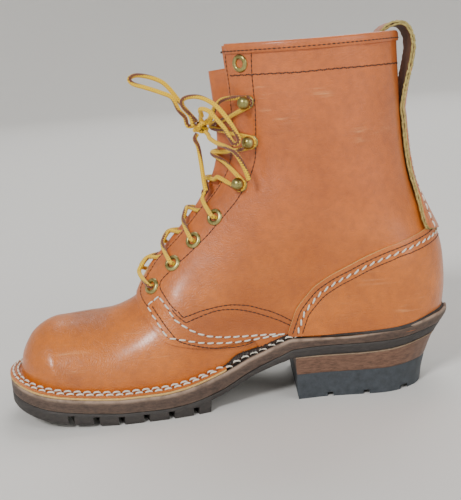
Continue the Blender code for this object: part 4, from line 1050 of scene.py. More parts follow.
seamLines = {
    "facing": {
        "dark": (
            ((252, 43), (253, 70), (255, 90), (257, 110), (257, 150), (255, 165), (251, 178), (245, 190),
             (237, 202), (228, 213), (218, 225), (208, 237), (198, 247), (188, 257), (178, 266), (170, 274),
             (163, 281), (161, 286), (162, 291), (166, 298), (172, 307), (178, 313), (184, 318.5)),
            ((184, 318.5), (190, 316), (200, 312), (210, 309), (220, 306.5), (230, 305), (240, 305),
             (250, 306), (260, 308.5), (270, 311), (280, 315), (290, 320), (296, 323)),
            ((172.5, 310.5), (178, 317), (183.5, 321.5), (186.3, 323.3)),
            ((186.3, 323.3), (199, 317.6), (216, 311.2), (231, 309.5), (245, 310.7), (262, 314.7),
             (279, 320.4), (290.7, 325.6)),
            ((153.5, 307.2), (164.4, 324.4), (174.8, 338.2), (181.7, 343), (199, 346.8), (216, 348.3),
             (233, 347.4), (245, 345.1), (253, 342)),
        ),
        "fine": (
            ((227, 46), (228, 60), (230, 75), (232, 90), (233, 105), (235, 125), (235, 145), (233, 160),
             (230, 172), (225, 182), (218, 193), (210, 203), (203, 210), (193, 223), (183, 236), (173, 247),
             (165, 255), (157, 264), (147, 280), (143, 287), (142, 293), (144, 300), (149, 308)),
        ),
        "zigzag": (((232, 75.5), (250, 74.5), (280, 73), (300, 72), (330, 69), (360, 66.5), (396, 63)),),
        "white": (
            ((149, 306.5), (160.4, 297.5)),
            ((160.4, 298), (166.7, 307.2), (171.5, 314.5), (176, 321), (189.7, 330.2), (204.6, 335.6),
             (222, 337.3), (245, 336.2), (268, 334.6), (286, 334.2)),
            ((149, 307), (153, 315), (157.6, 322.1), (162.5, 330.5), (167.9, 338.8)),
            ((168.5, 339), (181.7, 340.5), (199, 342.8), (216, 343.2), (233, 342.5), (250.6, 340),
             (267.8, 336.9), (280, 335.2)),
        ),
    },
    "counterInset": {"dark": 0.0030, "slanted": 0.0060, "fine": 0.0092},
}


def sewPanels():
    for kind, rows in seamLines["facing"].items():
        for row in rows:
            sewOnForm(row, bootSizes["panel"], kind, smooth=len(row) > 3)
    edge = evenSteps(counterLine, 160)
    lean = unit(np.gradient(edge, axis=0))
    inward = np.stack([lean[:, 1], -lean[:, 0]], -1)
    off = bootSizes["panel"] + panelSizes["counterOff"]
    for kind, inset in seamLines["counterInset"].items():
        row = edge + inward * inset
        row = row[(row[:, 1] > soleTop(row[:, 0]) + 0.002) & (row[:, 0] > backX(row[:, 1]) + 0.0005)]
        for side in (1, -1):
            points, normals = onFace(row[:, 0], row[:, 1], side, off)
            sewRow(points, normals, kind, side < 0)


bindingSizes = {"height": 0.0056, "thick": 0.0012, "over": 0.0011, "row": 0.0036}


# A leather strip folded over the collar's edge, from facing to facing round the back
def makeBinding():
    panel, wall, thick = bootSizes["panel"], bootSizes["wall"], bindingSizes["thick"]
    outer, inner, h = panel + thick, -wall - thick * 0.6, bindingSizes["height"]
    over = bindingSizes["over"]
    profile = [(panel + 0.0001, -h), (outer - 0.0003, -h), (outer, -h + 0.0003), (outer + 0.0001, -h * 0.5),
               (outer, -0.0006), (outer - 0.0006, over * 0.6), (panel - 0.0002, over), (-0.0004, over * 1.08),
               (-wall + 0.0002, over), (inner + 0.0005, over * 0.6), (inner, -0.0006), (inner, -h * 0.8),
               (-wall - 0.0001, -h * 0.85)]
    turns = np.linspace(0, 1, 150)
    start, end = collarLine[0, 0], collarLine[-1, 0] - 0.0002
    x = start + (end - start) * (1 - np.cos(math.pi / 2 * turns))
    dip = np.interp(x, collarLine[:, 0], collarLine[:, 1])
    points, faces = [], []
    for k, side in enumerate((1, -1)):
        rows = []
        for off, up in profile:
            first = start - off
            here = first + (end - first) * (1 - np.cos(math.pi / 2 * turns))
            rows.append(skin(here, np.interp(here, collarLine[:, 0], collarLine[:, 1]) + up, side, off))
        grid = np.stack(rows, 1)
        grid[0, :, 1] = centreLine(grid[0, :, 0])
        points.append(grid.reshape(-1, 3))
        quads = gridFaces(len(turns), len(profile), k * len(turns) * len(profile), closed=True)
        faces.append(quads if side > 0 else quads[:, ::-1])
    points, faces, _ = weld(np.concatenate(points), np.concatenate(faces), 0.00004)
    obj = addPiece("collarBinding", points, faces, ["upper"], ("collar_binding",))
    paintTones(obj, points)
    closeHoles(obj)
    row = np.stack([x, dip - bindingSizes["row"]], -1)[6:]
    for side in (1, -1):
        spots, normals = onFace(row[:, 0], row[:, 1], side, outer)
        sewRow(spots - normals * relief(row[:, 0], row[:, 1], side)[:, None], normals, "dark", side < 0)


strapSizes = {
    "ply": 0.00145,
    "tucked": 0.004,  # how far its foot starts below the counter's edge
    "joined": 0.006,  # where the stay ends, below the loop
    "taper": 0.45,  # share of the stay over which the foot narrows
    "sag": 0.12,
    "apart": 0.52,  # shift of each ply from the strap's middle, in plies
    "flatter": 0.9,  # how much of the shaft's roundness the loop loses
    "flatBy": 0.4,  # share of the loop by which it has lost it
    "width": 0.0270,
    "foot": 0.0500,
    "lift": 0.0012,
    "loop": table(
        "behind over",
        (0.0046, -0.0500), (0.0068, -0.0360), (0.0098, -0.0200), (0.0112, -0.0085), (0.0098, -0.0005),
        (0.0060, 0.0048), (0.0000, 0.0056), (-0.0070, 0.0030), (-0.0115, -0.0030), (-0.0125, -0.0110),
        (-0.0110, -0.0210), (-0.0085, -0.0300),
    ),
    "fray": 0.00018,
}


# Where the form's back lies at a height and y across, off beyond it, found by halving
def onBack(z, y, off):
    low = backX(z) - off - 0.004 + 0 * y
    high = low + 0.050
    for _ in range(18):
        x = (low + high) / 2
        wide = np.where(y > 0, halfWidth(x, z + 0 * y, 1, off), halfWidth(x, z + 0 * y, -1, off))
        low, high = np.where(wide > np.abs(y), low, x), np.where(wide > np.abs(y), x, high)
    return high


# Back stay and pull loop of two plies, with raw, fibrous edges
def makeStrap():
    values = strapSizes
    thick = 2 * values["ply"]
    low = bootSizes["seat"] + bootSizes["shaftRise"] * counterEdge["up"][0] - values["tucked"]
    leave = collarTop + values["loop"]["over"][0]
    t = np.linspace(0, 1, 34)
    z = low + (leave - values["joined"] - low) * t
    half = values["width"] / 2 + (values["foot"] - values["width"]) / 2 * (1 - ease(t / values["taper"]))
    loop = np.stack([backX(collarTop) - values["loop"]["behind"], collarTop + values["loop"]["over"]], 1)
    loop = evenSteps(smoothLine(loop), 70)
    across = np.linspace(-1, 1, 25)
    off = bootSizes["panel"] + values["lift"] + thick / 2
    stay = []
    for k, h, w in zip(t, z, half):
        sag = w * across**2 * values["sag"] * (1 - k)
        stay.append(np.stack([onBack(h, w * across, off), w * across, h + sag], -1))
    w = values["width"] / 2 * across
    dish = onBack(collarTop, w, 0) - backX(collarTop)
    flatten = 1 - values["flatter"] * ease(np.linspace(0, 1, len(loop)) / values["flatBy"])
    hung = [np.stack([x + dish * flat, w, h + 0 * w], -1) for (x, h), flat in zip(loop, flatten)]
    sheet = np.stack(stay + hung)
    rows, columns = sheet.shape[:2]
    turnA, turnB = np.gradient(sheet, axis=0), np.gradient(sheet, axis=1)
    normals = unit(np.cross(turnA, turnB))
    normals *= -1 if normals[0, columns // 2, 0] > 0 else 1
    sheet[..., 1] -= aside
    rng = np.random.default_rng(5)
    fray = rng.normal(0, values["fray"], (rows, columns, 3))
    fray[:, 2:-2] = 0
    apart = values["apart"]
    plies = (("pullStrapOuter", apart, "upper"), ("pullStrapInner", -apart, "strapInside"))
    for name, shift, outside in plies:
        points = sheet + normals * (shift * values["ply"]) + fray * (1 if shift > 0 else -1)
        replaced = ("back_strap",) if shift > 0 else ()
        faces, slots = gridFaces(rows, columns), [outside, "strapInside", "strapEdge"]
        obj = addPiece(name, points.reshape(-1, 3), faces, slots, replaced)
        wanted = normals[0, columns // 2, 0]
        if sum(p.normal.x for p in obj.data.polygons[: columns]) * wanted < 0:
            obj.data.flip_normals()
        paintTones(obj, points.reshape(-1, 3))
        thicken(obj, values["ply"], 0)
    for edge in (3, columns - 4):
        row = sheet[:30, edge] + normals[:30, edge] * (1.02 * values["ply"])
        sewRow(row, normals[:30, edge], "white", edge > 5)


tongueSizes = {
    "clear": 0.0033,
    "thick": 0.0026,
    "half": 0.0300,
    "push": table(
        "rise push half",
        (-0.10, -0.0015, 0.35), (0.0, 0.0, 0.45), (0.35, 0.002, 0.70), (0.52, 0.0045, 0.85),
        (0.66, 0.0082, 0.95), (0.78, 0.0090, 1.0), (1.0, 0.0072, 1.0),
    ),
}


# A place on the tongue's outer face, or lift beyond it
def tonguePlace(index, y, lift=0.0):
    rise = throatRise(index)
    half = throatHalf(np.clip(index, footIndex, collarIndex))
    crown = ease(1.25 * (1 - np.clip(np.abs(y) / (0.92 * half), 0, 1)))
    flat = frontSpot(index, y, -tongueSizes["clear"])
    at = np.arange(len(frontPath))
    inward = readAt(index, at, frontInward)
    push = follow(tongueSizes["push"], "push", "rise", rise)
    push = push + tongueSizes["clear"] * ease((rise - 0.03) / 0.15)
    flat = flat - inward * (push * crown + lift)[..., None]
    return np.stack([flat[..., 0], centreLine(flat[..., 0]) + y, flat[..., 1]], -1)


def makeTongue():
    index = np.linspace(footIndex - 4, footIndex + 0.952 * (collarIndex - footIndex), 90)[:, None]
    rise = throatRise(index)
    y = tongueSizes["half"] * follow(tongueSizes["push"], "half", "rise", rise) * np.linspace(-1, 1, 41)
    points = tonguePlace(index + 0 * y, y)
    rows, columns = points.shape[:2]
    flat = points.reshape(-1, 3)
    flat = flat + relief(flat[:, 0] * 1.3, flat[:, 2], 1)[:, None] * np.array((1.0, 0, 0))
    faces, slots = gridFaces(rows, columns), ["upper", "lining", "rawEdge"]
    obj = addPiece("tongueLeather", flat, faces, slots, ("tongue",))
    if sum(p.normal.x * p.area for p in obj.data.polygons) < 0:
        obj.data.flip_normals()
    paintTones(obj, flat)
    thicken(obj, tongueSizes["thick"])


sewPanels()
makeBinding()
makeStrap()
makeTongue()
print("seams, binding, strap and tongue ready")


soleSizes = {
    "capHeight": 0.0176,
    "shank": 0.0067,
    "midsole": 0.0070,
    "flange": 0.0026,
    "gap": 0.0003,
    "breast": 0.358,
    "lugStart": 0.552,
    "lugDepth": 0.0055,
    "lugWidth": 0.0125,
    "lugGap": 0.0040,
    "flangeFrom": 0.45,
    "flangeFull": 0.53,
    "flangeShown": 0.512,
    "flangeTuck": 0.0060,
    # How far the midsole's outer corner is curled up, and how far the line under it is let down
    "lip": table(
        "along curl split",
        (0.00, 0.0020, 0.0), (0.03, 0.0018, 0.0), (0.10, 0.0013, 0.0), (0.145, 0.0010, 0.0),
        (0.197, -0.0006, 0.0), (0.243, -0.0014, 0.0), (0.32, -0.0013, 0.0003), (0.36, -0.0008, 0.0012),
        (0.40, -0.0014, 0.0026), (0.43, -0.0020, 0.0030), (0.47, -0.0016, 0.0034),
        (0.50, -0.0010, 0.0035), (0.53, 0.0, 0.0036), (0.56, 0.0, 0.0036), (0.66, 0.0, 0.0028),
        (0.80, 0.0, 0.0022), (1.00, 0.0, 0.0020),
    ),
    "taper": table(
        "height size",
        (0.00, 0.815), (0.16, 0.822), (0.36, 0.842), (0.70, 0.895), (0.86, 0.935), (1.00, 0.975),
        (1.12, 1.000), (1.30, 1.000),
    ),
}


def flangeShare(x):
    start, full = soleSizes["flangeFrom"], soleSizes["flangeFull"]
    return ease((share(x) - start) / (full - start))


def steep(x):
    slope = (soleTop(x + 0.001) - soleTop(x - 0.001)) / 0.002
    return np.sqrt(1 + slope**2)


def midTop(x):
    return soleTop(x) - (soleSizes["flange"] + soleSizes["gap"]) * flangeShare(x)


def midBottom(x):
    return midTop(x) - soleSizes["midsole"] * steep(x)


def splitAt(x):
    return midBottom(x) - follow(soleSizes["lip"], "split", "along", share(x))


def outTop(x):
    return splitAt(x) - soleSizes["gap"] * steep(x)


def outBottom(x):
    shank = midBottom(x) - (soleSizes["gap"] + soleSizes["shank"]) * steep(x)
    ground = bootSizes["toeSpring"] * follow(lastLines["sole"], "spring", "along", share(x))
    return np.where(share(x) < soleSizes["lugStart"], shank, ground)


# Narrows what lies behind the heel's breast towards the floor
def taperHeel(points, least=0.0):
    breast = float(place(soleSizes["breast"]))
    size = follow(soleSizes["taper"], "size", "height", points[..., 2] / bootSizes["seat"])
    behind = np.clip(breast - points[..., 0], 0, None)
    points[..., 0] += behind * (1 - size)
    amount = least + (0.65 - least) * ease(behind / 0.03)
    points[..., 1] *= np.where(points[..., 0] < breast, 1 - (1 - size) * amount, 1)
    return points


# How far a layer's edge is drawn in towards its two rounded corners
def roundTrim(up, soft):
    return soft * (1 - np.sqrt(np.clip(1 - (2 * up - 1) ** 6, 0, 1)))


# A layer of the sole between two heights over the plan; its edge is rows of (trim, up, curl share, edge tone:
# pale with use above zero, painted groove shadow below)
def soleLayer(name, x, top, bottom, material, replaced, edge):
    s = (x - x[0]) / (x[-1] - x[0])
    rows, wearAndShade = [], []
    for side in (1, -1):
        for trim, up, curl, edgeTone in edge[::side]:
            here = x[0] + trim + (x[-1] - x[0] - 2 * trim) * s
            z = bottom(here) * (1 - up) + top(here) * up
            z = z + curl * follow(soleSizes["lip"], "curl", "along", share(here))
            half = soleHalf(here, side, trim)
            rows.append(np.stack([here, centreLine(here) + side * half, z], -1))
            wearAndShade.append(edgeTone + 0 * here)
    grid = taperHeel(np.stack(rows, 1))
    points, faces, kept = weld(grid.reshape(-1, 3), gridFaces(len(x), 2 * len(edge), closed=True), 0.00003)
    obj = addPiece(name, points, faces, [material], replaced)
    paint(obj, "wearAndShade", np.stack(wearAndShade, 1).ravel()[kept])
    closeHoles(obj)
    smoothByAngle(obj, 45)
    return obj


def boxesMesh(name, boxes):
    bm = bmesh.new()
    for centre, size, turn in boxes:
        spot = Matrix.Translation(centre) @ Matrix.Rotation(turn, 4, "Z") @ Matrix.Diagonal((*size, 1))
        bmesh.ops.create_cube(bm, size=1, matrix=spot)
    mesh = bpy.data.meshes.new(name)
    bm.to_mesh(mesh)
    bm.free()
    return bpy.data.objects.new(name, mesh)


# Cuts a tool's boxes out of a piece, applies it and softens the new edges
def carve(obj, tool, bevel=0.0004):
    bpy.context.scene.collection.objects.link(tool)
    cut = obj.modifiers.new("cut", "BOOLEAN")
    cut.operation, cut.object, cut.solver = "DIFFERENCE", tool, "EXACT"
    graph = bpy.context.evaluated_depsgraph_get()
    made = bpy.data.meshes.new_from_object(obj.evaluated_get(graph))
    obj.modifiers.clear()
    obj.data = made
    bpy.data.objects.remove(tool)
    soften(obj, bevel, 50)
    smoothByAngle(obj, 45)


def capTop(x):
    return soleSizes["capHeight"] + 0.3 * (soleTop(x) - bootSizes["seat"])


# Narrow slots in the outsole's edge and under it, as (centre, size, turn)
def lugSlots():
    values = soleSizes
    pitch = values["lugWidth"] + values["lugGap"]
    first, last = float(place(values["lugStart"])) + values["lugWidth"], toeEnd - 2.2 * values["lugWidth"]
    slots = []
    for side in (1, -1):
        for spot in np.arange(first, last, pitch):
            edge = float(centreLine(spot) + side * soleHalf(spot, side))
            z = float(outBottom(np.array(spot))) - 0.005 + values["lugDepth"]
            slots.append(((spot, edge - side * 0.009, z), (values["lugGap"], 0.030, 0.010), side * 0.35))
        for spot in np.arange(first - pitch / 2, last + pitch, pitch):
            z = float(outBottom(np.array(spot))) - 0.005 + 0.6 * values["lugDepth"]
            y = float(centreLine(spot)) + side * 0.0125
            slots.append(((spot, y, z), (0.0030, 0.012, 0.010), -side * 0.6))
    return slots


def heelSlots():
    middle = (float(place(soleSizes["breast"])) + heelEnd) / 2 + 0.006
    slots = []
    for k in (-1, 0, 1):
        for side in (1, -1):
            centre = (middle + k * 2 * soleSizes["lugWidth"], side * 0.026, 0.0030 - 0.005)
            slots.append((centre, (soleSizes["lugGap"], 0.030, 0.010), -side * 0.3))
    return slots


# Cross-section of the midsole's edge: round at the foot, a lip pale with use at the top, and inside it a
# groove painted black as shadow
midsoleEdge = [
    (0.0008, 0.00, 0.0, 0.30), (0.0002, 0.04, 0.0, 0.45), (0.0, 0.12, 0.0, 0.05), (0.0, 0.30, 0.2, 0.0),
    (0.0, 0.50, 0.5, 0.0), (0.0, 0.70, 0.8, 0.10), (0.0, 0.84, 1.0, 0.85), (0.0001, 0.93, 1.0, 1.0),
    (0.0005, 0.985, 1.0, 1.0), (0.0010, 1.0, 1.0, 0.9), (0.0019, 0.995, 0.9, 0.25), (0.0030, 0.97, 0.6, -0.6),
    (0.0046, 0.95, 0.2, -1.0), (0.0075, 0.98, 0.0, -1.0),
]


def makeSole():
    near = 0.0002
    x = stations(heelEnd + near, toeEnd - near, 190)
    soleLayer("midsole", x, midTop, splitAt, "midsole", ("midsole",), midsoleEdge)
    step = float(place(soleSizes["lugStart"]))
    x = np.sort(np.append(x, (step - near, step + near)))
    edge = [(roundTrim(up, 0.0007), up, 0.0, 0.0) for up in np.linspace(0, 1, 7)]
    outsole = soleLayer("outsoleRubber", x, outTop, outBottom, "outsole", ("outsole",), edge)
    carve(outsole, boxesMesh("lugGrooves", lugSlots()))
    cap = heelBlock("heelRubber", lambda v: 0 * v, capTop, "rubber", "heel_cap", "black_rubber", 7)
    carve(cap, boxesMesh("heelGrooves", heelSlots()))
    stack = [lambda v: capTop(v) + 0.00015, lambda v: outBottom(v) - 0.0002]
    heelBlock("heelStack", *stack, "stack", "heel_stack", "stacked_leather", 13)
    line = [lambda v: outBottom(v) - 0.0006, outBottom]
    heelBlock("heelPaleLine", *line, "paleLine", None, "raw_edge", 3, 0.00016)


# A part of the heel between two heights that follow the seat; closed across its breast
def heelBlock(name, bottom, top, material, node, slot, levels, grow=0.0):
    up = np.linspace(0, 1, levels)
    trims = roundTrim(up, 0.0 if grow else 0.0004) - grow
    breast = float(place(soleSizes["breast"]))
    s = 1 - np.cos(math.pi / 2 * np.linspace(0, 1, 70))
    flat = np.linspace(0, 1, 24)[1:-1, None]
    rows = []
    for level, trim in zip(up, trims):
        end = heelEnd + 0.0001 + trim
        x = end + (breast - trim - end) * s
        z = bottom(x) * (1 - level) + top(x) * level
        outer = np.stack([x, centreLine(x) - soleHalf(x, -1, trim), z], -1)
        inner = np.stack([x, centreLine(x) + soleHalf(x, 1, trim), z], -1)
        line = np.concatenate([outer[::-1], inner[1:]])
        front = line[-1] * (1 - flat) + line[0] * flat
        rows.append(taperHeel(np.concatenate([line, front]), 0.25))
    return addRing(name, np.stack(rows), material, (node,) if node else ())


def ledgeRound(x, side):
    return np.where(x > toeEnd - bootSizes["foreLedge"], bootSizes["foreLedge"], ledge(x, side))


# A ring from the inner waist round the toe to the outer waist, with thin ends
def flangeRing(name, grow, material, replaced, top, low):
    tuck = soleSizes["flangeTuck"]
    turn = np.sin(math.pi / 2 * np.linspace(0, 1, 130))
    start = float(place(soleSizes["flangeShown"]))
    steps = [(-tuck, 0.0), (-0.0004, 0.0), (0.35, 0.0), (0.7, 0.0), (0.93, 0.06), (1.0, 0.30), (1.0, 0.75),
             (0.96, 1.0), (-tuck, 1.0)]
    points = []
    for side in (1, -1):
        run = turn if side > 0 else turn[-2::-1]
        rows = []
        for reach, down in steps:
            full = bootSizes["foreLedge"] + grow
            far = reach * full if reach > 0 else reach
            x = start + (toeEnd - bootSizes["foreLedge"] + far - start) * run
            wide = ledgeRound(x, side)
            off = reach * (wide + grow) if reach > 0 else reach + 0 * wide
            spot = skin(x, soleTop(x) + bootSizes["outlineLift"], side, off)
            t = (soleSizes["flange"] + soleSizes["gap"]) * flangeShare(x) - 0.0002
            rise = 0.0009 * math.exp(-((reach - 0.0) / 0.12) ** 2) if reach > -0.001 else 0.0009
            spot[:, 2] = soleTop(x) - t * (top + (low - top) * down) + rise * flangeShare(x) * (1 - down)
            rows.append(spot)
        points.append(np.stack(rows, 1))
    grid = np.concatenate(points)
    points, faces, _ = weld(grid.reshape(-1, 3), gridFaces(*grid.shape[:2], closed=True), 0.00003)
    obj = addPiece(name, points, faces, [material], replaced)
    closeHoles(obj)
    smoothByAngle(obj, 50)
    return obj


# A line on top of the ledge, reach of the way out, round the toe between two shares on each side
def ledgeRow(reach, first, last, count=260, lift=0.0):
    rows = []
    for side in (1, -1):
        end = toeEnd - bootSizes["foreLedge"] + reach * bootSizes["foreLedge"]
        start = float(place(first if side > 0 else last))
        run = np.sin(math.pi / 2 * np.linspace(0, 1, count))
        x = start + (end - start) * (run if side > 0 else run[::-1][1:])
        wide = ledgeRound(x, side)
        spot = skin(x, soleTop(x) + bootSizes["outlineLift"], side, reach * wide)
        spot[:, 2] = soleTop(x) + lift
        rows.append(spot)
    return np.concatenate(rows)


waistWelt = table(
    "along height",
    (0.345, 0.0004), (0.352, 0.0030), (0.380, 0.0036), (0.405, 0.0036), (0.430, 0.0040), (0.460, 0.0052),
    (0.485, 0.0066), (0.500, 0.0056), (0.512, 0.0042), (0.520, 0.0036), (0.526, 0.0004),
)


weltSection = [(-0.0004, 0.0), (0.55, 0.0), (0.62, 0.35), (0.50, 0.62), (0.30, 0.85), (-0.0004, 1.0)]


def weltBase(x):
    return midTop(x) + follow(soleSizes["lip"], "curl", "along", share(x))


# A rough, blackened strip between the upper and the midsole in the waist
def makeWaistWelt():
    rng = np.random.default_rng(11)
    for side, name in ((1, "waistWeltInner"), (-1, "waistWeltOuter")):
        x = np.linspace(float(place(0.345)), float(place(0.526)), 120)
        s = np.linspace(0, 1, len(x))
        full = np.sin(math.pi * np.clip(s, 0.02, 0.98)) ** 0.35
        rows = []
        for off, up in weltSection:
            rough = rng.normal(0, 0.00022, len(x))
            out = off * ledge(x, side) * full if off > 0 else off + 0 * x
            out = out + (rough if off > 0 else 0)
            out = out + bootSizes["panel"] * (up > 0.5)
            spot = skin(x, soleTop(x) + bootSizes["outlineLift"], side, out)
            spot[:, 2] = weltBase(x) + up * (follow(waistWelt, "height", "along", share(x)) + rough)
            rows.append(spot)
        addRing(name, np.stack(rows, 1), "welt", angle=35)


weltRows = (  # share of the ledge's width, first share of the length, lift off the ledge
    (0.36, 0.255, 0.0010),
    (0.74, 0.530, 0.0003),
)


def makeFlange():
    top = flangeRing("flangeLeather", 0.0, "upper", ("flange",), 0.0, 0.45)
    paintTones(top, np.array([v.co for v in top.data.vertices]))
    flangeRing("flangeEdge", 0.0002, "rawEdge", (), 0.46, 1.0)
    for reach, first, lift in weltRows:
        row = ledgeRow(reach, first, first, lift=lift)
        if reach < 0.5:
            here = row[:, 0]
            waist = (ease((share(here) - 0.335) / 0.03) * ease((0.53 - share(here)) / 0.02))[:, None]
            lower = ledgeRow(0.66, first, first)
            lower[:, 0] = here
            lower[:, 2] = weltBase(here) + 0.45 * follow(waistWelt, "height", "along", share(here))
            row = row + (lower - row) * waist
        normals = np.tile((0.0, 0.0, 1.0), (len(row), 1))
        sewRow(row, normals, "welt")


heelJoinShade = table(
    "along height",
    (0.00, 0.0032), (0.05, 0.0030), (0.12, 0.0020), (0.20, 0.0012), (0.26, 0.0008), (0.30, 0.0000),
)


# A dark strip that closes the counter's foot against the ledge, round the back: painted shadow of the groove
# there
def makeHeelJoinShade():
    face = bootSizes["panel"] + panelSizes["counterOff"]
    rows = []
    for off, up in ((-0.0008, 0.0), (0.0010, 0.0), (0.0010, 0.6), (0.0005, 1.0), (-0.0008, 1.0)):
        back = float(backX(soleTop(place(0)) + bootSizes["outlineLift"])) - face - off
        x = back + 0.00001 + (float(place(0.30)) - back) * (1 - np.cos(math.pi / 2 * np.linspace(0, 1, 90)))
        halves = []
        for side in (1, -1):
            spot = skin(x, soleTop(x) + bootSizes["outlineLift"], side, face + off)
            spot[:, 2] = soleTop(x) - 0.0003 + up * (0.0003 + follow(heelJoinShade, "height", "along", share(x)))
            halves.append(spot)
        rows.append(np.concatenate([halves[0][::-1], halves[1][1:]]))
    addRing("heelJoinShade", np.stack(rows, 1), "welt", angle=40)


makeSole()
makeFlange()
makeWaistWelt()
makeHeelJoinShade()
print("sole ready")


holders = {
    "rows": table(
        "along up hook",
        (0.659, 0.203, 0), (0.609, 0.277, 0), (0.559, 0.352, 0), (0.509, 0.428, 0), (0.445, 0.533, 1),
        (0.415, 0.678, 1), (0.417, 0.811, 1), (0.429, 0.937, 0),
    ),
    "names": ("eyelet_1", "eyelet_2", "eyelet_3", "eyelet_4", "hook_1", "hook_2", "hook_3", "eyelet_top"),
    "eyeletRadius": 0.0058,
    "eyeletHole": 0.0028,
    "eyeletHeight": 0.0014,
    "ball": 0.0043,
    "post": 0.0012,
    "base": 0.0045,
    "height": 0.0049,
}


def holderPlace(k):
    x = place(holders["rows"]["along"][k])
    return x, bootSizes["seat"] + holders["rows"]["up"][k] * bootSizes["shaftRise"]


def holderSpot(k, side):
    x, z = holderPlace(k)
    direction = outward(x, z, side)
    return skin(x, z, side) + direction * (bootSizes["panel"] + relief([x], [z], side)[0]), direction


# A profile of (radius, height) turned about a direction through a spot
def turnedParts(profile, spot, direction, steps):
    turn = np.arange(steps) / steps * 2 * math.pi
    side = unit(np.cross(direction, (0.0, 0.0, 1.0)))
    other = np.cross(direction, side)
    ring = np.cos(turn)[:, None] * side + np.sin(turn)[:, None] * other
    profile = np.array(profile)
    points = spot + profile[:, :1, None] * ring[None] + profile[:, 1:, None] * np.asarray(direction)
    return points.reshape(-1, 3), gridFaces(len(profile), steps, closed=True)


def makeHolders():
    r, hole, t = holders["eyeletRadius"], holders["eyeletHole"], holders["eyeletHeight"]
    rim = smoothLine([
        (hole, -0.0030), (hole, -0.0002), (hole + 0.0001, 0.55 * t), (hole + 0.0006, 0.95 * t),
        (hole + 0.0013, 1.05 * t), (r - 0.0007, 0.80 * t), (r - 0.00005, 0.30 * t), (r, -0.0002),
    ], 4)
    rim[:, 0] = np.clip(rim[:, 0], hole, r)
    b, h = holders["ball"], holders["height"]
    ball = [(b * math.sin(a), h + b * math.cos(a)) for a in np.linspace(0.02, 0.86 * math.pi, 22)]
    stem = [(holders["post"], h - 0.0030), (holders["post"], 0.0016), (holders["post"] + 0.0008, 0.0010),
            (holders["base"] - 0.0006, 0.0009), (holders["base"], 0.0004), (holders["base"], -0.0003)]
    shade = [(0.00001, -0.0001), (hole + 0.0001, -0.0001)]
    for word, side in (("inner", 1), ("outer", -1)):
        for k, name in enumerate(holders["names"]):
            spot, direction = holderSpot(k, side)
            if holders["rows"]["hook"][k]:
                points, faces = turnedParts(ball + stem, spot, direction, 28)
            else:
                points, faces = turnedParts(rim, spot, direction, 32)
            addPiece(f"{name}_{word}Brass", points, faces, ["brass"], (f"{name}_{word}",))
            # A dark disc in each eyelet's opening: painted shade
            if not holders["rows"]["hook"][k]:
                points, faces = turnedParts(shade, spot, direction, 24)
                addPiece(f"{name}_{word}HoleShade", points, faces, ["holeShade"])


laceSizes = {
    "radius": 0.0015,
    "seat": 0.0026,
    "pitch": 0.0016,
    "step": 0.0008,
    "sides": 14,
    "knot": 0.0048,
    "gap": 0.0003,
    "knotAt": (0.008, 0.008, 0.1885),
}
knotSpot = np.array(laceSizes["knotAt"]) - (0, aside, 0)


# Points, faces and UVs of a round tube along a path; u counts braid pitches and v goes once round
def cordTube(points, radius, turned=0.0):
    run = runLength(points)
    ahead = unit(np.gradient(points, axis=0))
    normal = np.cross(ahead[0], (0.0, 0.0, 1.0) if abs(ahead[0][2]) < 0.9 else (0.0, 1.0, 0.0))
    frames = []
    for way in ahead:
        normal = unit(normal - way * normal.dot(way))
        frames.append(normal)
    frames = np.array(frames)
    other = np.cross(ahead, frames)
    sides = laceSizes["sides"]
    turn = np.arange(sides) / sides * 2 * math.pi + turned
    ring = frames[:, None] * np.cos(turn)[None, :, None] + other[:, None] * np.sin(turn)[None, :, None]
    tube = points[:, None] + ring * radius
    flat = tube.reshape(-1, 3)
    faces = gridFaces(len(points), sides, closed=True)
    u = np.repeat(run / laceSizes["pitch"], sides).reshape(len(points), sides)
    v = np.tile(np.arange(sides) / sides, (len(points), 1))
    i, j = faces[:, 0] // sides, faces[:, 0] % sides
    corner = np.stack([
        np.stack([u[i, j], v[i, j]], -1), np.stack([u[i + 1, j], v[i, j]], -1),
        np.stack([u[i + 1, j], v[i, j] + 1 / sides], -1), np.stack([u[i, j], v[i, j] + 1 / sides], -1),
    ], 1)
    caps = [np.arange(sides)[::-1], np.arange(sides) + len(flat) - sides]
    return flat, faces, corner, caps


def laceMesh(name, paths, replaced, radius=laceSizes["radius"], turned=0.0):
    points, faces, uvs, start = [], [], [], 0
    for k, path in enumerate(paths):
        flat, quads, corner, caps = cordTube(path, radius, turned + 0.7 * k)
        points.append(flat)
        faces += [tuple(q) for q in quads + start] + [tuple(c + start) for c in caps]
        uvs.append(corner.reshape(-1, 2))
        uvs.append(np.zeros((2 * laceSizes["sides"], 2)))
        start += len(flat)
    obj = addPiece(name, np.concatenate(points), faces, ["lace"], replaced)
    layer = obj.data.uv_layers.new(name="lace")
    layer.data.foreach_set("uv", np.concatenate(uvs).astype(np.float32).ravel())
    return obj


# Where the lace turns round behind a hook's post
def laceTurn(k, side):
    spot, direction = holderSpot(k, side)
    base = spot + direction * (0.0008 + laceSizes["radius"])
    at = int(np.argmin((frontPath[:, 0] - spot[0]) ** 2 + (frontPath[:, 1] - spot[2]) ** 2))
    back = np.array([spot[0] - frontPath[at, 0], 0.0, spot[2] - frontPath[at, 1]])
    back = unit(back - direction * back.dot(direction))
    up = np.cross(direction, back)
    up *= math.copysign(1, up[2])
    r = holders["post"] + laceSizes["radius"] + 0.0004
    turns = np.radians(range(-80, 81, 20))
    return [base + r * (back * math.cos(a) + up * math.sin(a)) for a in turns]


def indexOf(k):
    x, z = holderPlace(k)
    return float(np.argmin((frontPath[:, 0] - x) ** 2 + (frontPath[:, 1] - z) ** 2))


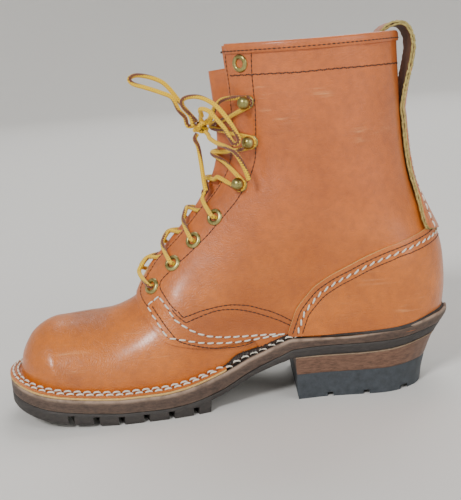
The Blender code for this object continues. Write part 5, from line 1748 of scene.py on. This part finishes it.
# The lace between two holders: over a facing's edge and the tongue, then over or under the other edge
def overThroat(low, high, here, parts):
    points = []
    for part, across, lift in parts:
        at = low + (high - low) * part
        y = here * throatHalf(at) * across
        over = laceSizes["radius"] + lift
        points.append(tonguePlace(np.array(at), np.array(y), over))
    return points


# Steps of a crossing: share of the way, place across in throat halves, lift off the tongue
crossings = {
    "eyelet": (
        (0.12, 1.12, 0.0076), (0.34, 0.62, 0.0062), (0.56, 0.0, 0.0020), (0.74, -0.62, 0.0010),
        (0.88, -0.95, 0.0004),
    ),
    "toHook": (
        (0.12, 1.12, 0.0076), (0.34, 0.80, 0.0068), (0.5, 0.0, 0.0022), (0.66, -0.80, 0.0064),
        (0.80, -1.15, 0.0074),
    ),
    "hook": ((0.30, 1.05, 0.0072), (0.5, 0.0, 0.0018), (0.70, -1.05, 0.0072)),
}


def lacePath(side):
    points = []
    for k in range(7):
        here = side * (1 if k % 2 == 0 else -1)
        spot, direction = holderSpot(k, here)
        if holders["rows"]["hook"][k]:
            points += laceTurn(k, here)
        else:
            front = frontPath[int(indexOf(k))]
            toFront = np.array([front[0] - spot[0], 0.0, front[1] - spot[2]])
            toFront = unit(toFront - direction * toFront.dot(direction))
            points += [spot - direction * 0.0035 - toFront * 0.001, spot + direction * 0.0004,
                       spot + direction * 0.0030 + toFront * 0.0012]
        if k < 6:
            kind = "eyelet" if k < 3 else "toHook" if k == 3 else "hook"
            points += overThroat(indexOf(k), indexOf(k + 1), here, crossings[kind])
    return np.array(points)


bow = {
    "lace_loop_1": {
        "points": (
            (0.0060, 0.0020, 0.0010), (0.0100, 0.0015, 0.0070), (0.0140, 0.0010, 0.0125),
            (0.0175, 0.0000, 0.0205),
            (0.0250, -0.0020, 0.0245), (0.0350, -0.0040, 0.0285), (0.0430, -0.0060, 0.0315),
            (0.0455, -0.0070, 0.0350), (0.0410, -0.0080, 0.0370), (0.0330, -0.0090, 0.0355),
            (0.0250, -0.0085, 0.0320), (0.0200, -0.0075, 0.0275), (0.0150, -0.0060, 0.0205),
            (0.0100, -0.0045, 0.0130), (0.0035, -0.0032, 0.0045),
        ),
        "end": "object",
    },
    "lace_loop_2": {
        "points": (
            (0.0035, 0.0055, 0.0015), (0.0060, 0.0085, 0.0080), (0.0100, 0.0105, 0.0140),
            (0.0105, 0.0125, 0.0185),
            (0.0060, 0.0145, 0.0205), (-0.0010, 0.0170, 0.0200), (-0.0080, 0.0200, 0.0165),
            (-0.0140, 0.0240, 0.0110), (-0.0200, 0.0285, 0.0020), (-0.0245, 0.0320, -0.0080),
            (-0.0215, 0.0320, -0.0110), (-0.0185, 0.0300, -0.0065), (-0.0160, 0.0275, -0.0010),
            (-0.0110, 0.0240, 0.0055), (-0.0060, 0.0200, 0.0110), (-0.0010, 0.0155, 0.0120),
            (-0.0015, 0.0095, 0.0075), (-0.0005, 0.0040, 0.0052),
        ),
        "end": "object",
    },
    "lace_end_1": {
        "points": (
            (-0.0030, 0.0035, -0.0036), (-0.0056, 0.0095, -0.0078), (-0.0105, 0.0180, -0.0108),
            (-0.0160, 0.0268, -0.0128), (-0.0208, 0.0335, -0.0158), (-0.0240, 0.0362, -0.0205),
            (-0.0262, 0.0364, -0.0255), (-0.0277, 0.0358, -0.0300), (-0.0288, 0.0348, -0.0340),
        ),
        "end": "bare",
    },
    "lace_end_2": {
        "points": (
            (0.0035, 0.0010, -0.0060), (0.0028, 0.0020, -0.0135), (0.0016, 0.0040, -0.0260),
            (0.0006, 0.0085, -0.0390), (-0.0002, 0.0095, -0.0425),
        ),
        "end": "bare",
    },
}


def intoKnot(toward):
    reach = laceSizes["knot"] + 0.0045, laceSizes["knot"] + 1.6 * laceSizes["gap"]
    return np.outer(reach, unit(np.asarray(toward)))


def outsideKnot(points):
    points = np.array(points, float)
    near = laceSizes["knot"] + 3 * laceSizes["radius"]
    if np.linalg.norm(points[0]) < near:
        points = np.vstack([intoKnot(points[0])[::-1], points[1:]])
    if np.linalg.norm(points[-1]) < near:
        points = np.vstack([points[:-1], intoKnot(points[-1])])
    return knotSpot + points


def cordLine(points, step):
    curve = smoothLine(np.asarray(points, float), 12)
    return evenSteps(curve, max(2, round(runLength(curve)[-1] / step)))


def makeBow():
    for name, values in bow.items():
        path = cordLine(outsideKnot(values["points"]), laceSizes["step"])
        obj = laceMesh(name.replace("lace_", "laceBow_"), [path], (name,), turned=1.0)


# Part of a ring about an axis, from one angle in degrees to another, that climbs by slope
def ringAround(centre, axis, radius, start, stop, slope):
    axis = unit(np.asarray(axis, float))
    side = unit(np.cross(axis, (0.1, 0.2, 1.0)))
    other = np.cross(axis, side)
    steps = np.linspace(0, 1, 26)[:, None]
    a = np.radians(start + (stop - start) * steps)
    rise = slope * (steps - 0.5)
    return centre + radius * (np.cos(a) * side + np.sin(a) * other) + axis * rise


knotStrands = (
    (
        (0.0044, 0.0020, -0.0022), (0.0026, 0.0044, -0.0006), (-0.0004, 0.0050, 0.0014),
        (-0.0034, 0.0036, 0.0026), (-0.0046, 0.0010, 0.0036),
    ),
    (
        (0.0050, -0.0010, 0.0012), (0.0020, 0.0006, 0.0004), (-0.0016, 0.0010, -0.0014),
        (-0.0048, 0.0002, -0.0024),
    ),
)


# The bow's crossed centre: a wrap round the loops and the strands that pass through it
def makeKnot():
    wraps = [ringAround(knotSpot + (0.0002, 0.0010, 0.0004), (0.75, 0.10, 0.65), 0.0034, -60, 330, 0.0030)]
    wraps += [cordLine(knotSpot + np.array(strand), 0.0006) for strand in knotStrands]
    wraps.append(ringAround(knotSpot + (-0.0006, 0.0, -0.0006), (-0.45, 0.55, 0.70), 0.0030, 20, 290, 0.0024))
    laceMesh("laceKnotWraps", wraps, ("lace_knot",), 0.00148)


def makeLaces():
    strands = []
    for side in (1, -1):
        points = lacePath(side)
        last = points[-1]
        toKnot = knotSpot - last
        sag = last + toKnot * 0.4 + np.array((0.004, 0.000, 0.0060))
        strands.append(cordLine(np.vstack([points, sag, knotSpot + intoKnot(-toKnot)]), laceSizes["step"]))
    laceMesh("laceCrossings", strands, ("lace_run",))
    makeBow()
    makeKnot()


makeHolders()
makeLaces()
print("eyelets, hooks and laces ready")


joinedStitches = {"whiteStitches": "whiteThread", "darkStitches": "darkThread", "stitchShadeStrips": "channels"}


def joinStitches():
    for name, kind in joinedStitches.items():
        start, points, faces = 0, [], []
        for spots, quads in stitchParts[kind]:
            points.append(spots)
            faces.append(quads + start)
            start += len(spots)
        material = "channel" if kind == "channels" else kind
        addPiece(name, np.concatenate(points), np.concatenate(faces), [material])


joinStitches()


stageLook = {
    "aim": 0.11,  # height the lights point at
    "sky": (0.95, 0.97, 1.0, 1),
    "floorRoughness": 0.9,
    "turns": 96,
    "bend": 3.75,  # degrees between the rows where the floor turns up
    "flat": 5.0,
    "curve": 3.0,
    "top": 9.0,
    "floor": rgb(226, 224, 220),
    "key": ((3.0, 5.4, 5.0), 380.0, 1.8),
    "fill": ((-4.0, 4.2, 2.8), 110.0, 4.4),
    "back": ((-0.8, -3.4, 4.2), 110.0, 3.6),
    "world": 0.42,
}


def makeStage():
    # A round floor that bends up into a wall all the way round, so that no line shows behind the boot
    turns, flat, curve = stageLook["turns"], stageLook["flat"], stageLook["curve"]
    bend = [math.radians(stageLook["bend"] * k) for k in range(25)]
    outline = [(1.0, 0.0)] + [(flat + curve * math.sin(a), curve - curve * math.cos(a)) for a in bend]
    outline.append((flat + curve, stageLook["top"]))
    around = [2 * math.pi * k / turns for k in range(turns)]
    points, faces = [(0.0, 0.0, 0.0)], []
    for reach, height in outline:
        points += [(reach * math.cos(a), reach * math.sin(a), height) for a in around]
    for k in range(turns):
        faces.append((0, 1 + k, 1 + (k + 1) % turns))
        for ring in range(len(outline) - 1):
            low = 1 + ring * turns
            faces.append((low + k, low + turns + k, low + turns + (k + 1) % turns, low + (k + 1) % turns))
    mesh = bpy.data.meshes.new("floor")
    mesh.from_pydata(points, [], faces)
    mesh.shade_smooth()
    floor = bpy.data.objects.new("floor", mesh)
    made, _, shader = newMaterial("paleFloor")
    shader.inputs["Base Color"].default_value = (*stageLook["floor"], 1)
    shader.inputs["Roughness"].default_value = stageLook["floorRoughness"]
    mesh.materials.append(made)
    bpy.context.scene.collection.objects.link(floor)
    for name in ("key", "fill", "back"):
        spot, power, size = stageLook[name]
        light = bpy.data.lights.new(name + "Light", "AREA")
        light.shape, light.size, light.energy = "DISK", size, power
        obj = bpy.data.objects.new(name + "Light", light)
        aim = Vector((0, 0, stageLook["aim"])) - Vector(spot)
        obj.matrix_world = Matrix.Translation(spot) @ aim.to_track_quat("-Z", "Y").to_matrix().to_4x4()
        bpy.context.scene.collection.objects.link(obj)
    world = bpy.data.worlds.new("studio")
    world.use_nodes = True
    world.node_tree.nodes["Background"].inputs["Color"].default_value = stageLook["sky"]
    world.node_tree.nodes["Background"].inputs["Strength"].default_value = stageLook["world"]
    bpy.context.scene.world = world


makeStage()
